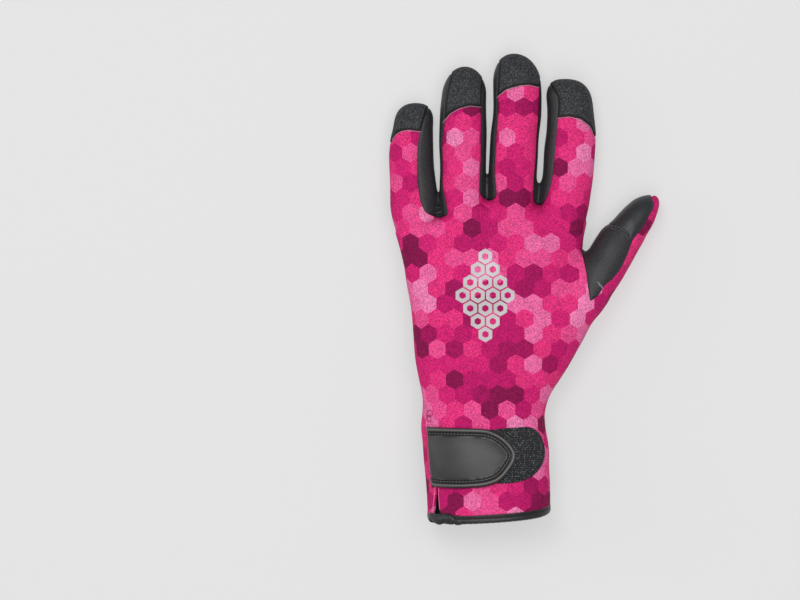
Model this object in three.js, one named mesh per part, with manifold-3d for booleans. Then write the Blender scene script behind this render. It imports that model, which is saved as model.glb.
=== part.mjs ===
import * as THREE from "three";
import Module from "manifold-3d";

const wasm = await Module();
wasm.setup();
const { Manifold, Mesh: SolidMesh } = wasm;

// Left diving glove lying palm down. Millimetres, +Z up, +Y to the fingertips, +X to the thumb.

// driving sizes: the tables below are shares of these three
const handWide = 100; // across the knuckles
const gloveLong = 245; // from the hem to the tip of the middle finger
const cuffHigh = 43; // from the surface to the back of the cuff at the hem

// cloth and clearances
const wallThick = 2.0; // neoprene with a lining on both sides
const clearance = 0.3; // between neighbouring pieces
const patchThick = 0.9; // synthetic leather patches and the hem binding
const loopThick = 1.2; // woven loop patch under the strap
const strapThick = 2.0; // rubber tab above the loop patch
const gussetThick = 1.2; // folded strip behind the slit
const skinFloor = patchThick + clearance; // the patches lie on the surface, the neoprene above them
const slitFoot = 4.0; // height at which the slit ends, above the side seam
const gussetFoot = slitFoot + 2.0;
const gussetReach = 1.0; // the strip comes out this far past the hem
const bindHigh = 5.0;
const patchRise = 7.5; // the palm side patches stay below this height
const beyond = 1.2 * gloveLong; // past every edge, for cutting blocks

// wrist loop and ring
const webWide = 12.0;
const webLayer = 1.0;
const webTail = 15;
const webX = -0.265 * handWide;
const webZ = 5.9;
const eyeOut = 2.15; // the eye lies this far outside the hem
const eyeSteps = 12;
const wireRadius = 0.85;
const wireSides = 8;
const ringRadius = 7.8;
const ringLeg = 0.8;
const ringBend = 1.4;
const ringLift = 0.1; // the far end of the ring stays this far above the surface

// corners around a section
const bodySides = 24;
const fingerSides = 12;
const thumbSides = 14;
const tipSteps = 6;

// shares of the driving sizes to millimetres
const spans = {
  x: handWide, left: handWide, right: handWide, half: handWide,
  y: gloveLong, tip: gloveLong, end: gloveLong, littleSide: gloveLong, thumbSide: gloveLong,
  z: cuffHigh, top: cuffHigh, under: cuffHigh,
};
function sized(rows) {
  return rows.map((row) => Object.fromEntries(
    Object.entries(row).map(([key, value]) => [key, key in spans ? value * spans[key] : value])));
}

// palm and cuff: edges seen from above and the height of the back, from the hem side to the knuckles
const bodyStations = sized([
  { y: -0.5959, left: -0.506, right: 0.138, top: 1, under: -0.035, square: 2.2 },
  { y: -0.4449, left: -0.506, right: 0.134, top: 0.953, under: -0.035, square: 2.2 },
  { y: -0.3959, left: -0.516, right: 0.132, top: 0.919, under: -0.035, square: 2.2 },
  { y: -0.3429, left: -0.527, right: 0.129, top: 0.884, under: -0.03, square: 2.2 },
  { y: -0.2898, left: -0.536, right: 0.112, top: 0.849, under: -0.023, square: 2.2 },
  { y: -0.2408, left: -0.53, right: 0.122, top: 0.826, under: -0.019, square: 2.25 },
  { y: -0.1918, left: -0.548, right: 0.194, top: 0.809, under: -0.019, square: 2.3 },
  { y: -0.1388, left: -0.572, right: 0.271, top: 0.791, under: -0.019, square: 2.35 },
  { y: -0.0878, left: -0.58, right: 0.332, top: 0.767, under: -0.019, square: 2.4 },
  { y: 0.0245, left: -0.619, right: 0.322, top: 0.702, under: -0.019, square: 2.4 },
  { y: 0.0816, left: -0.644, right: 0.308, top: 0.651, under: -0.019, square: 2.4 },
  { y: 0.1347, left: -0.672, right: 0.32, top: 0.595, under: -0.014, square: 2.4 },
  { y: 0.1796, left: -0.692, right: 0.328, top: 0.53, under: -0.009, square: 2.4 },
]);

// fingers: centre line, half the width, height of the back and of the underside before it flattens
const littleStations = sized([
  { x: -0.55, y: 0.0653, half: 0.06, top: 0.419, under: 0.116 },
  { x: -0.586, y: 0.1714, half: 0.116, top: 0.484, under: 0.002 },
  { x: -0.589, y: 0.2286, half: 0.115, top: 0.456, under: 0.002 },
  { x: -0.59, y: 0.2898, half: 0.115, top: 0.437, under: 0.005 },
  { x: -0.586, y: 0.3224, half: 0.107, top: 0.423, under: 0.007 },
  { x: -0.575, y: 0.349, half: 0.096, top: 0.4, under: 0.014 },
  { x: -0.57, y: 0.3673, half: 0.088, top: 0.367, under: 0.028 },
  { x: -0.568, y: 0.382, half: 0.072, top: 0.326, under: 0.051 },
  { x: -0.566, y: 0.3931, half: 0.042, top: 0.27, under: 0.098 },
]);
const ringStations = sized([
  { x: -0.31, y: 0.0816, half: 0.08, top: 0.465, under: 0.116 },
  { x: -0.319, y: 0.1796, half: 0.12, top: 0.54, under: 0 },
  { x: -0.318, y: 0.2531, half: 0.12, top: 0.498, under: 0 },
  { x: -0.318, y: 0.3184, half: 0.124, top: 0.474, under: 0.002 },
  { x: -0.317, y: 0.3755, half: 0.12, top: 0.456, under: 0.007 },
  { x: -0.312, y: 0.4122, half: 0.113, top: 0.437, under: 0.012 },
  { x: -0.309, y: 0.4367, half: 0.1, top: 0.405, under: 0.021 },
  { x: -0.306, y: 0.4555, half: 0.079, top: 0.358, under: 0.047 },
  { x: -0.304, y: 0.4694, half: 0.044, top: 0.288, under: 0.098 },
]);
const middleStations = sized([
  { x: -0.07, y: 0.0816, half: 0.08, top: 0.465, under: 0.116 },
  { x: -0.061, y: 0.1878, half: 0.126, top: 0.563, under: 0 },
  { x: -0.057, y: 0.2531, half: 0.131, top: 0.526, under: 0 },
  { x: -0.05, y: 0.3184, half: 0.131, top: 0.498, under: 0.002 },
  { x: -0.038, y: 0.3755, half: 0.129, top: 0.479, under: 0.007 },
  { x: -0.038, y: 0.4204, half: 0.127, top: 0.46, under: 0.012 },
  { x: -0.043, y: 0.449, half: 0.116, top: 0.433, under: 0.021 },
  { x: -0.05, y: 0.4714, half: 0.098, top: 0.395, under: 0.04 },
  { x: -0.052, y: 0.4869, half: 0.07, top: 0.344, under: 0.07 },
  { x: -0.05, y: 0.4976, half: 0.038, top: 0.279, under: 0.107 },
]);
const indexStations = sized([
  { x: 0.17, y: 0.0653, half: 0.065, top: 0.419, under: 0.116 },
  { x: 0.216, y: 0.1796, half: 0.123, top: 0.535, under: 0 },
  { x: 0.23, y: 0.2449, half: 0.131, top: 0.507, under: 0 },
  { x: 0.24, y: 0.298, half: 0.133, top: 0.484, under: 0.002 },
  { x: 0.247, y: 0.3388, half: 0.127, top: 0.465, under: 0.007 },
  { x: 0.242, y: 0.3796, half: 0.119, top: 0.442, under: 0.012 },
  { x: 0.237, y: 0.4082, half: 0.109, top: 0.414, under: 0.021 },
  { x: 0.23, y: 0.4286, half: 0.092, top: 0.372, under: 0.042 },
  { x: 0.226, y: 0.4441, half: 0.054, top: 0.298, under: 0.088 },
]);
const thumbStations = sized([
  { x: 0.17, y: -0.1061, half: 0.08, top: 0.674, under: 0.07 },
  { x: 0.295, y: -0.0286, half: 0.118, top: 0.686, under: 0.035 },
  { x: 0.382, y: 0.0212, half: 0.121, top: 0.642, under: 0.014 },
  { x: 0.484, y: 0.08, half: 0.118, top: 0.572, under: 0.005 },
  { x: 0.542, y: 0.1159, half: 0.108, top: 0.521, under: 0.005 },
  { x: 0.596, y: 0.1445, half: 0.091, top: 0.47, under: 0.009 },
  { x: 0.642, y: 0.1682, half: 0.072, top: 0.419, under: 0.033 },
  { x: 0.676, y: 0.1845, half: 0.052, top: 0.363, under: 0.065 },
  { x: 0.697, y: 0.1951, half: 0.028, top: 0.298, under: 0.116 },
]);
const fingerSquare = 2.15;

// hem: how far the cuff reaches at each height, on the little finger side and on the thumb side
const hemLeftX = -0.6 * handWide;
const hemRightX = 0.26 * handWide;
const hemStations = sized([
  { z: -0.279, littleSide: -0.4265, thumbSide: -0.4286 },
  { z: 0, littleSide: -0.4367, thumbSide: -0.4408 },
  { z: 0.279, littleSide: -0.4612, thumbSide: -0.4592 },
  { z: 0.512, littleSide: -0.4922, thumbSide: -0.471 },
  { z: 0.791, littleSide: -0.5037, thumbSide: -0.4824 },
  { z: 1.442, littleSide: -0.5143, thumbSide: -0.498 },
]);

// height of the seam between the back and the palm, from the hem to the fingertips
const sideSeam = sized([
  { y: -0.6122, z: 0.314 },
  { y: -0.2449, z: 0.279 },
  { y: -0.0816, z: 0.221 },
  { y: 0.1837, z: 0.167 },
  { y: 0.5306, z: 0.149 },
]);

// outlines seen from above
const littleRingSide = sized([
  { x: -0.506, y: 0.3796 }, { x: -0.526, y: 0.3265 }, { x: -0.546, y: 0.2718 }, { x: -0.542, y: 0.2204 },
  { x: -0.532, y: 0.1776 }, { x: -0.501, y: 0.1608 }, { x: -0.438, y: 0.1543 }, { x: -0.406, y: 0.1673 },
  { x: -0.42, y: 0.2078 }, { x: -0.422, y: 0.2739 }, { x: -0.42, y: 0.3269 }, { x: -0.414, y: 0.3673 },
  { x: -0.39, y: 0.449 }, { x: -0.44, y: 0.4612 }, { x: -0.462, y: 0.3918 },
]);
const ringMiddleSide = sized([
  { x: -0.226, y: 0.4327 }, { x: -0.222, y: 0.3865 }, { x: -0.224, y: 0.2857 }, { x: -0.23, y: 0.2078 },
  { x: -0.218, y: 0.1812 }, { x: -0.199, y: 0.1657 }, { x: -0.176, y: 0.1657 }, { x: -0.156, y: 0.1837 }, { x: -0.164, y: 0.2461 },
  { x: -0.156, y: 0.291 }, { x: -0.133, y: 0.4122 }, { x: -0.118, y: 0.4759 }, { x: -0.165, y: 0.4857 },
  { x: -0.18, y: 0.4531 }, { x: -0.19, y: 0.4449 },
]);
const middleIndexSide = sized([
  { x: 0.072, y: 0.4367 }, { x: 0.077, y: 0.4 }, { x: 0.07, y: 0.3547 }, { x: 0.062, y: 0.302 },
  { x: 0.054, y: 0.2531 }, { x: 0.047, y: 0.1976 }, { x: 0.054, y: 0.1731 }, { x: 0.07, y: 0.1624 }, { x: 0.096, y: 0.1624 },
  { x: 0.116, y: 0.1755 }, { x: 0.126, y: 0.2024 },
  { x: 0.154, y: 0.2567 }, { x: 0.16, y: 0.3016 }, { x: 0.17, y: 0.3592 }, { x: 0.156, y: 0.431 },
  { x: 0.124, y: 0.4449 }, { x: 0.11, y: 0.4245 }, { x: 0.104, y: 0.4449 },
]);
const littleCap = sized([
  { x: -0.76, y: 0.3037 }, { x: -0.694, y: 0.3127 }, { x: -0.67, y: 0.329 }, { x: -0.606, y: 0.3371 },
  { x: -0.538, y: 0.3355 }, { x: -0.466, y: 0.3249 }, { x: -0.466, y: 0.4122 }, { x: -0.76, y: 0.4122 },
]);
const ringCap = sized([
  { x: -0.46, y: 0.3429 }, { x: -0.418, y: 0.3592 }, { x: -0.386, y: 0.3731 }, { x: -0.339, y: 0.3837 },
  { x: -0.282, y: 0.3894 }, { x: -0.224, y: 0.3861 }, { x: -0.184, y: 0.3771 }, { x: -0.184, y: 0.4898 }, { x: -0.46, y: 0.4898 },
]);
const middleCap = sized([
  { x: -0.18, y: 0.3959 }, { x: -0.133, y: 0.4122 }, { x: -0.094, y: 0.4241 }, { x: -0.021, y: 0.4322 },
  { x: 0.026, y: 0.4339 }, { x: 0.089, y: 0.4286 }, { x: 0.108, y: 0.4229 }, { x: 0.108, y: 0.5224 }, { x: -0.18, y: 0.5224 },
]);
const indexCap = sized([
  { x: 0.116, y: 0.3608 }, { x: 0.175, y: 0.3633 }, { x: 0.235, y: 0.3665 }, { x: 0.298, y: 0.3608 },
  { x: 0.346, y: 0.3469 }, { x: 0.372, y: 0.3257 }, { x: 0.42, y: 0.3061 }, { x: 0.42, y: 0.4653 }, { x: 0.116, y: 0.4653 },
]);
// inner half of the thumb, black on both faces
const thumbInnerOutline = sized([
  { x: 0.356, y: -0.0286 }, { x: 0.376, y: -0.0159 }, { x: 0.412, y: 0.0033 }, { x: 0.494, y: 0.0331 },
  { x: 0.54, y: 0.0669 }, { x: 0.569, y: 0.102 }, { x: 0.646, y: 0.1502 }, { x: 0.674, y: 0.1755 },
  { x: 0.672, y: 0.1918 }, { x: 0.694, y: 0.2204 }, { x: 0.6, y: 0.2531 }, { x: 0.4, y: 0.2041 },
  { x: 0.319, y: 0.1078 }, { x: 0.306, y: 0.0792 }, { x: 0.324, y: 0.0331 }, { x: 0.342, y: -0.0118 },
]);
// the thumb is not split by the side seam
const thumbZone = sized([
  { x: 0.319, y: 0.1078 }, { x: 0.4, y: 0.2531 }, { x: 0.84, y: 0.2531 }, { x: 0.84, y: -0.0327 }, { x: 0.46, y: -0.1224 },
  { x: 0.31, y: -0.0653 }, { x: 0.342, y: -0.0118 }, { x: 0.324, y: 0.0331 }, { x: 0.306, y: 0.0792 },
]);
const thumbPatchOutline = sized([
  { x: 0.406, y: 0.1445 }, { x: 0.444, y: 0.1347 }, { x: 0.506, y: 0.129 }, { x: 0.542, y: 0.1184 },
  { x: 0.564, y: 0.1086 }, { x: 0.636, y: 0.1527 }, { x: 0.664, y: 0.1755 }, { x: 0.662, y: 0.1902 }, { x: 0.68, y: 0.2204 },
  { x: 0.58, y: 0.2367 },
]);
const palmPatchOutline = sized([
  { x: -0.66, y: 0.2498 }, { x: -0.672, y: 0.2122 }, { x: -0.652, y: 0.1551 }, { x: -0.614, y: 0.0816 },
  { x: -0.576, y: 0.0082 }, { x: -0.546, y: -0.0286 }, { x: -0.303, y: -0.0445 }, { x: -0.126, y: -0.06 },
  { x: 0.02, y: -0.0694 }, { x: 0.037, y: -0.0224 }, { x: 0.078, y: 0.0143 }, { x: 0.134, y: 0.0347 },
  { x: 0.19, y: 0.0449 }, { x: 0.26, y: 0.0694 }, { x: 0.294, y: 0.1102 }, { x: 0.306, y: 0.1633 },
  { x: 0.33, y: 0.2204 }, { x: 0.326, y: 0.2555 }, { x: 0.146, y: 0.2555 }, { x: 0.126, y: 0.2041 },
  { x: 0.08, y: 0.1576 }, { x: 0.028, y: 0.1959 }, { x: 0.036, y: 0.2678 }, { x: -0.156, y: 0.2678 },
  { x: -0.156, y: 0.2041 }, { x: -0.192, y: 0.1592 }, { x: -0.236, y: 0.1959 }, { x: -0.232, y: 0.2506 },
  { x: -0.406, y: 0.2506 }, { x: -0.404, y: 0.1878 }, { x: -0.454, y: 0.151 }, { x: -0.508, y: 0.1796 },
  { x: -0.512, y: 0.2498 },
]);
const tipPatches = sized([
  { name: "tip_patch_little", x: -0.582, half: 0.084, tip: 0.3861, end: 0.289 },
  { name: "tip_patch_ring", x: -0.315, half: 0.092, tip: 0.4547, end: 0.351 },
  { name: "tip_patch_middle", x: -0.042, half: 0.098, tip: 0.4841, end: 0.3608 },
  { name: "tip_patch_index", x: 0.24, half: 0.094, tip: 0.4351, end: 0.3208 },
]);
const slitOutline = sized([
  { x: -0.46, y: -0.2653 }, { x: -0.45, y: -0.2653 }, { x: -0.446, y: -0.4531 }, { x: -0.35, y: -0.4898 },
  { x: -0.35, y: -0.5551 }, { x: -0.486, y: -0.5551 }, { x: -0.482, y: -0.4857 }, { x: -0.462, y: -0.4531 },
]);
const gussetOutline = sized([
  { x: -0.492, y: -0.2694 }, { x: -0.406, y: -0.2694 }, { x: -0.36, y: -0.4571 }, { x: -0.305, y: -0.4776 },
  { x: -0.305, y: -0.5306 }, { x: -0.492, y: -0.5306 },
]);
const loopOutline = sized([
  { x: -0.24, y: -0.302 }, { x: -0.151, y: -0.2971 }, { x: 0.01, y: -0.2951 }, { x: 0.064, y: -0.3094 },
  { x: 0.104, y: -0.3355 }, { x: 0.106, y: -0.3592 }, { x: 0.086, y: -0.3837 }, { x: 0.036, y: -0.4049 },
  { x: -0.026, y: -0.4143 }, { x: -0.104, y: -0.4155 }, { x: -0.24, y: -0.4139 },
]);
const strapOutline = sized([
  { x: -0.508, y: -0.2951 }, { x: -0.209, y: -0.2988 }, { x: -0.151, y: -0.3057 }, { x: -0.089, y: -0.3249 },
  { x: -0.054, y: -0.3453 }, { x: -0.052, y: -0.36 }, { x: -0.082, y: -0.3845 }, { x: -0.136, y: -0.4094 },
  { x: -0.209, y: -0.4192 }, { x: -0.355, y: -0.4229 }, { x: -0.465, y: -0.4212 }, { x: -0.508, y: -0.4171 },
]);

// closed solid from rings of equal length, the two ends closed flat
function loftRings(rings) {
  const sides = rings[0].length;
  const points = rings.flat();
  const faces = [];
  for (let r = 0; r + 1 < rings.length; r++) {
    for (let i = 0; i < sides; i++) {
      const a = r * sides + i, b = r * sides + (i + 1) % sides;
      faces.push([a, b, b + sides], [a, b + sides, a + sides]);
    }
  }
  const last = (rings.length - 1) * sides;
  for (let i = 1; i + 1 < sides; i++) faces.push([0, i + 1, i], [last, last + i, last + i + 1]);
  return solidFrom(points, faces);
}

function solidFrom(points, faces) {
  const mesh = new SolidMesh({
    numProp: 3,
    vertProperties: new Float32Array(points.flatMap((p) => [p.x, p.y, p.z])),
    triVerts: new Uint32Array(faces.flat()),
  });
  mesh.merge();
  const solid = new Manifold(mesh);
  if (solid.volume() >= 0) return solid;
  return new Manifold(new SolidMesh({
    numProp: 3,
    vertProperties: mesh.vertProperties,
    triVerts: new Uint32Array(faces.flatMap((f) => [f[0], f[2], f[1]])),
  }));
}

// one section across a limb, flattened where it lies on the surface
function sectionRing(centre, across, half, top, under, square, sides, grow) {
  const floor = skinFloor - grow;
  const high = (top - under) / 2 + grow;
  const mid = (top + under) / 2;
  const ring = [];
  for (let i = 0; i < sides; i++) {
    const turn = (2 * Math.PI * i) / sides;
    const c = Math.cos(turn), s = Math.sin(turn);
    const u = Math.sign(c) * Math.abs(c) ** (2 / square) * (half + grow);
    const v = Math.sign(s) * Math.abs(s) ** (2 / square) * high;
    ring.push({ x: centre.x + across.x * u, y: centre.y + across.y * u, z: Math.max(mid + v, floor) });
  }
  return ring;
}

function fingerLoft(stations, sides, grow) {
  const count = stations.length;
  return loftRings(stations.map((s, i) => {
    const before = stations[Math.max(i - 1, 0)], after = stations[Math.min(i + 1, count - 1)];
    const run = Math.hypot(after.x - before.x, after.y - before.y);
    const along = { x: (after.x - before.x) / run, y: (after.y - before.y) / run };
    // the last sections move outward with the tip
    const reach = grow * Math.max(0, 1 - (count - 1 - i) / 3);
    const centre = { x: s.x + along.x * reach, y: s.y + along.y * reach };
    return sectionRing(centre, { x: along.y, y: -along.x }, s.half, s.top, s.under, fingerSquare, sides, grow);
  }));
}

function bodyLoft(grow) {
  const count = bodyStations.length;
  return loftRings(bodyStations.map((s, i) => {
    const reach = i === count - 1 ? grow : 0;
    const centre = { x: (s.left + s.right) / 2, y: s.y + reach };
    return sectionRing(centre, { x: 1, y: 0 }, (s.right - s.left) / 2, s.top, s.under, s.square, bodySides, grow);
  }));
}

// the whole glove swollen or shrunk by one distance
const shapes = new Map();
function glove(grow) {
  const key = grow.toFixed(3);
  if (!shapes.has(key)) {
    shapes.set(key, Manifold.union([
      bodyLoft(grow),
      fingerLoft(littleStations, fingerSides, grow),
      fingerLoft(ringStations, fingerSides, grow),
      fingerLoft(middleStations, fingerSides, grow),
      fingerLoft(indexStations, fingerSides, grow),
      fingerLoft(thumbStations, thumbSides, grow),
    ]));
  }
  return shapes.get(key);
}

function shell(outer, inner) {
  return glove(outer).subtract(glove(inner));
}

// upright prism over an outline
function prism(outline, low = -beyond, high = beyond) {
  const flat = outline.map((p) => new THREE.Vector2(p.x, p.y));
  const caps = THREE.ShapeUtils.triangulateShape(flat, []);
  const count = outline.length;
  const points = [...outline.map((p) => ({ x: p.x, y: p.y, z: low })), ...outline.map((p) => ({ x: p.x, y: p.y, z: high }))];
  const faces = [];
  for (const [a, b, c] of caps) faces.push([a, c, b], [a + count, b + count, c + count]);
  const turn = THREE.ShapeUtils.area(flat) > 0 ? 1 : -1;
  for (let i = 0; i < count; i++) {
    const j = (i + 1) % count;
    if (turn > 0) faces.push([i, j, j + count], [i, j + count, i + count]);
    else faces.push([j, i, i + count], [j, i + count, j + count]);
  }
  return solidFrom(points, faces);
}

// outline moved inward by a distance
function inset(outline, distance) {
  const count = outline.length;
  const turn = THREE.ShapeUtils.area(outline.map((p) => new THREE.Vector2(p.x, p.y))) > 0 ? 1 : -1;
  return outline.map((p, i) => {
    const a = outline[(i + count - 1) % count], b = outline[(i + 1) % count];
    const one = new THREE.Vector2(p.x - a.x, p.y - a.y).normalize();
    const two = new THREE.Vector2(b.x - p.x, b.y - p.y).normalize();
    const n1 = new THREE.Vector2(-one.y, one.x), n2 = new THREE.Vector2(-two.y, two.x);
    const sum = n1.clone().add(n2);
    const scale = (2 * distance * turn) / Math.max(sum.lengthSq(), 0.6);
    return { x: p.x + sum.x * scale, y: p.y + sum.y * scale };
  });
}

// where the hem lies at one place across the cuff, by height
function hemLine(x) {
  return hemStations.map((s) => {
    const slope = (s.thumbSide - s.littleSide) / (hemRightX - hemLeftX);
    return { z: s.z, y: s.littleSide + slope * (x - hemLeftX) };
  });
}

// everything on the finger side of the hem, moved up by a distance
function aboveHem(rise) {
  return loftRings([-beyond, beyond].map((x) => {
    const line = hemLine(x);
    return [
      ...line.map((p) => ({ x, y: p.y + rise, z: p.z })),
      { x, y: beyond, z: line.at(-1).z }, { x, y: beyond, z: line[0].z },
    ];
  }));
}

// block under the side seam
function underSeam(drop) {
  const section = [
    ...sideSeam.map((s) => ({ y: s.y, z: s.z - drop })),
    { y: sideSeam.at(-1).y, z: -beyond }, { y: sideSeam[0].y, z: -beyond },
  ];
  return loftRings([-beyond, beyond].map((x) => section.map((p) => ({ x, y: p.y, z: p.z }))));
}

const group = new THREE.Group();
const colours = { cloth: 0xd81b7a, black: 0x2b2d30, leather: 0x4a4c4f, rubber: 0x3a3b3e, metal: 0x1c1d20, web: 0x3b3f45 };

// the largest body of a cut, as a mesh
function addPart(name, colour, solid) {
  const bodies = solid.decompose().sort((a, b) => b.volume() - a.volume());
  const mesh = bodies[0].getMesh();
  const geometry = new THREE.BufferGeometry();
  const positions = new Float32Array(mesh.numVert * 3);
  for (let i = 0; i < mesh.numVert; i++) {
    for (let k = 0; k < 3; k++) positions[i * 3 + k] = mesh.vertProperties[i * mesh.numProp + k];
  }
  geometry.setAttribute("position", new THREE.BufferAttribute(positions, 3));
  geometry.setIndex(new THREE.BufferAttribute(new Uint32Array(mesh.triVerts), 1));
  geometry.computeVertexNormals();
  const part = new THREE.Mesh(geometry, new THREE.MeshStandardMaterial({ color: colours[colour] }));
  part.name = name;
  group.add(part);
  return bodies[0];
}

// neoprene skin, open at the hem
const slit = prism(slitOutline, sideSeam[0].z + slitFoot);
const skin = shell(0, -wallThick).intersect(aboveHem(patchThick + clearance)).subtract(slit);
const zone = prism(thumbZone);
const thumbCut = prism(thumbInnerOutline);

const palmSkin = skin.intersect(underSeam(clearance)).subtract(zone);
const upper = skin.subtract(underSeam(0).subtract(prism(inset(thumbZone, clearance))));
addPart("palm_panel", "black", palmSkin);
addPart("thumb_inner", "black", upper.intersect(prism(inset(thumbInnerOutline, clearance))));

// strips between the fingers
const sides = [
  { name: "fourchette_little_ring", outline: littleRingSide },
  { name: "fourchette_ring_middle", outline: ringMiddleSide },
  { name: "fourchette_middle_index", outline: middleIndexSide },
];
let backSkin = upper.subtract(thumbCut);
for (const side of sides) {
  addPart(side.name, "black", backSkin.intersect(prism(inset(side.outline, clearance))));
  backSkin = backSkin.subtract(prism(side.outline));
}
const caps = [
  { name: "cap_little", outline: littleCap },
  { name: "cap_ring", outline: ringCap },
  { name: "cap_middle", outline: middleCap },
  { name: "cap_index", outline: indexCap },
];
for (const cap of caps) {
  addPart(cap.name, "black", backSkin.intersect(prism(inset(cap.outline, clearance))));
  backSkin = backSkin.subtract(prism(cap.outline));
}
addPart("back_panel", "cloth", backSkin);

// synthetic leather on the palm side
const patchShell = shell(clearance + patchThick, clearance);
const lowSlab = (outline) => prism(outline, -beyond, patchRise);
addPart("palm_patch", "leather", patchShell.intersect(lowSlab(palmPatchOutline)));
for (const tip of tipPatches) {
  const outline = [];
  for (let i = 0; i <= tipSteps; i++) {
    const turn = (Math.PI * i) / tipSteps;
    outline.push({ x: tip.x + tip.half * Math.cos(turn), y: tip.tip - tip.half + tip.half * Math.sin(turn) });
  }
  outline.push({ x: tip.x - tip.half, y: tip.end }, { x: tip.x + tip.half, y: tip.end });
  addPart(tip.name, "leather", patchShell.intersect(lowSlab(outline)));
}
addPart("thumb_tip_patch", "leather", patchShell.intersect(prism(thumbPatchOutline)));

// hem binding, folded over the edge of the cuff
const bindOuter = clearance + patchThick;
const bindShell = shell(bindOuter, -wallThick - bindOuter).intersect(aboveHem(0)).subtract(aboveHem(bindHigh));
const bindRoom = shell(clearance, -wallThick - clearance).intersect(aboveHem(patchThick));
const bindSlit = prism(inset(slitOutline, -clearance), sideSeam[0].z + slitFoot);
addPart("hem_binding", "black", bindShell.subtract(bindRoom).subtract(bindSlit));

// strip behind the slit
const gussetShell = shell(-wallThick - bindOuter - clearance, -wallThick - bindOuter - clearance - gussetThick);
addPart("slit_gusset", "black", gussetShell.intersect(prism(gussetOutline, sideSeam[0].z + gussetFoot))
  .intersect(aboveHem(-gussetReach)));

// closure on the back of the wrist
const overBack = (outline) => prism(outline, sideSeam[0].z);
addPart("loop_patch", "rubber", shell(clearance + loopThick, clearance).intersect(overBack(loopOutline)));
const loopTop = clearance + loopThick + clearance;
const loopRoom = shell(loopTop, 0).intersect(overBack(inset(loopOutline, -clearance)));
addPart("strap_tab", "rubber", shell(loopTop + strapThick, clearance).intersect(overBack(strapOutline)).subtract(loopRoom));

// webbing loop inside the hem and the ring in its eye
const eyeInner = wireRadius + clearance;
const eyeOuter = eyeInner + webLayer;
function webProfile() {
  const outer = [], inner = [];
  for (let i = 0; i < eyeSteps; i++) {
    const turn = (2 * Math.PI * i) / eyeSteps;
    inner.push({ u: eyeInner * Math.cos(turn), v: eyeInner * Math.sin(turn) });
    outer.push({ u: eyeOuter * Math.cos(turn), v: eyeOuter * Math.sin(turn) });
  }
  return { outer, inner };
}
function alongX(profile, x0, x1, y, z) {
  const ring = (x) => profile.map((p) => ({ x, y: y + p.u, z: z + p.v }));
  return loftRings([ring(x0), ring(x1)]);
}
const web = webProfile();
// the hem at the height of the eye
const [below, above] = hemLine(webX).slice(1);
const eyeY = below.y + ((above.y - below.y) * (webZ - below.z)) / (above.z - below.z) - eyeOut;
const webLeft = webX - webWide / 2, webRight = webX + webWide / 2;
const tail = [
  { u: 0, v: -webLayer }, { u: webTail, v: -webLayer }, { u: webTail, v: webLayer }, { u: 0, v: webLayer },
];
const webSolid = alongX(web.outer, webLeft, webRight, eyeY, webZ)
  .add(alongX(tail, webLeft, webRight, eyeY, webZ))
  .subtract(alongX(web.inner, webLeft - webLayer, webRight + webLayer, eyeY, webZ));
addPart("webbing_loop", "web", webSolid);

// D shaped ring: a straight bar, two short legs and a half circle
function ringPath() {
  const path = [];
  const bend = ringBend, bendSteps = 3, arcSteps = 10;
  const corner = (cx, cy, from) => {
    for (let i = 0; i <= bendSteps; i++) {
      const turn = from + (Math.PI / 2) * (i / bendSteps);
      path.push({ x: cx + bend * Math.cos(turn), y: cy + bend * Math.sin(turn) });
    }
  };
  corner(ringRadius - bend, -bend, 0);
  corner(-ringRadius + bend, -bend, Math.PI / 2);
  for (let i = 0; i <= arcSteps; i++) {
    const turn = Math.PI + (Math.PI * i) / arcSteps;
    path.push({ x: ringRadius * Math.cos(turn), y: -bend - ringLeg + ringRadius * Math.sin(turn) });
  }
  return path;
}
function wireLoop(path, sides) {
  const count = path.length;
  const reach = -Math.min(...path.map((p) => p.y));
  const tilt = Math.asin((webZ - wireRadius - ringLift) / reach); // the far end comes down to the surface
  const points = [], faces = [];
  path.forEach((p, i) => {
    const a = path[(i + count - 1) % count], b = path[(i + 1) % count];
    const along = new THREE.Vector2(b.x - a.x, b.y - a.y).normalize();
    for (let k = 0; k < sides; k++) {
      const turn = (2 * Math.PI * k) / sides;
      const out = wireRadius * Math.cos(turn), up = wireRadius * Math.sin(turn);
      const x = p.x + along.y * out, y = p.y - along.x * out;
      points.push({
        x: webX + x,
        y: eyeY + y * Math.cos(tilt) - up * Math.sin(tilt),
        z: webZ + y * Math.sin(tilt) + up * Math.cos(tilt),
      });
    }
    const next = ((i + 1) % count) * sides;
    for (let k = 0; k < sides; k++) {
      const m = (k + 1) % sides;
      faces.push([i * sides + k, i * sides + m, next + m], [i * sides + k, next + m, next + k]);
    }
  });
  return solidFrom(points, faces);
}
addPart("d_ring", "metal", wireLoop(ringPath(), wireSides));

// origin at the middle of the underside
const bounds = new THREE.Box3().setFromObject(group);
const middle = bounds.getCenter(new THREE.Vector3());
for (const part of group.children) part.geometry.translate(-middle.x, -middle.y, -bounds.min.z);

export default group;
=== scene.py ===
# Left diving glove lying palm down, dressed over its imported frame.
import math
import time
import bpy
import numpy as np
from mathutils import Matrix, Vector, kdtree


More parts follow.
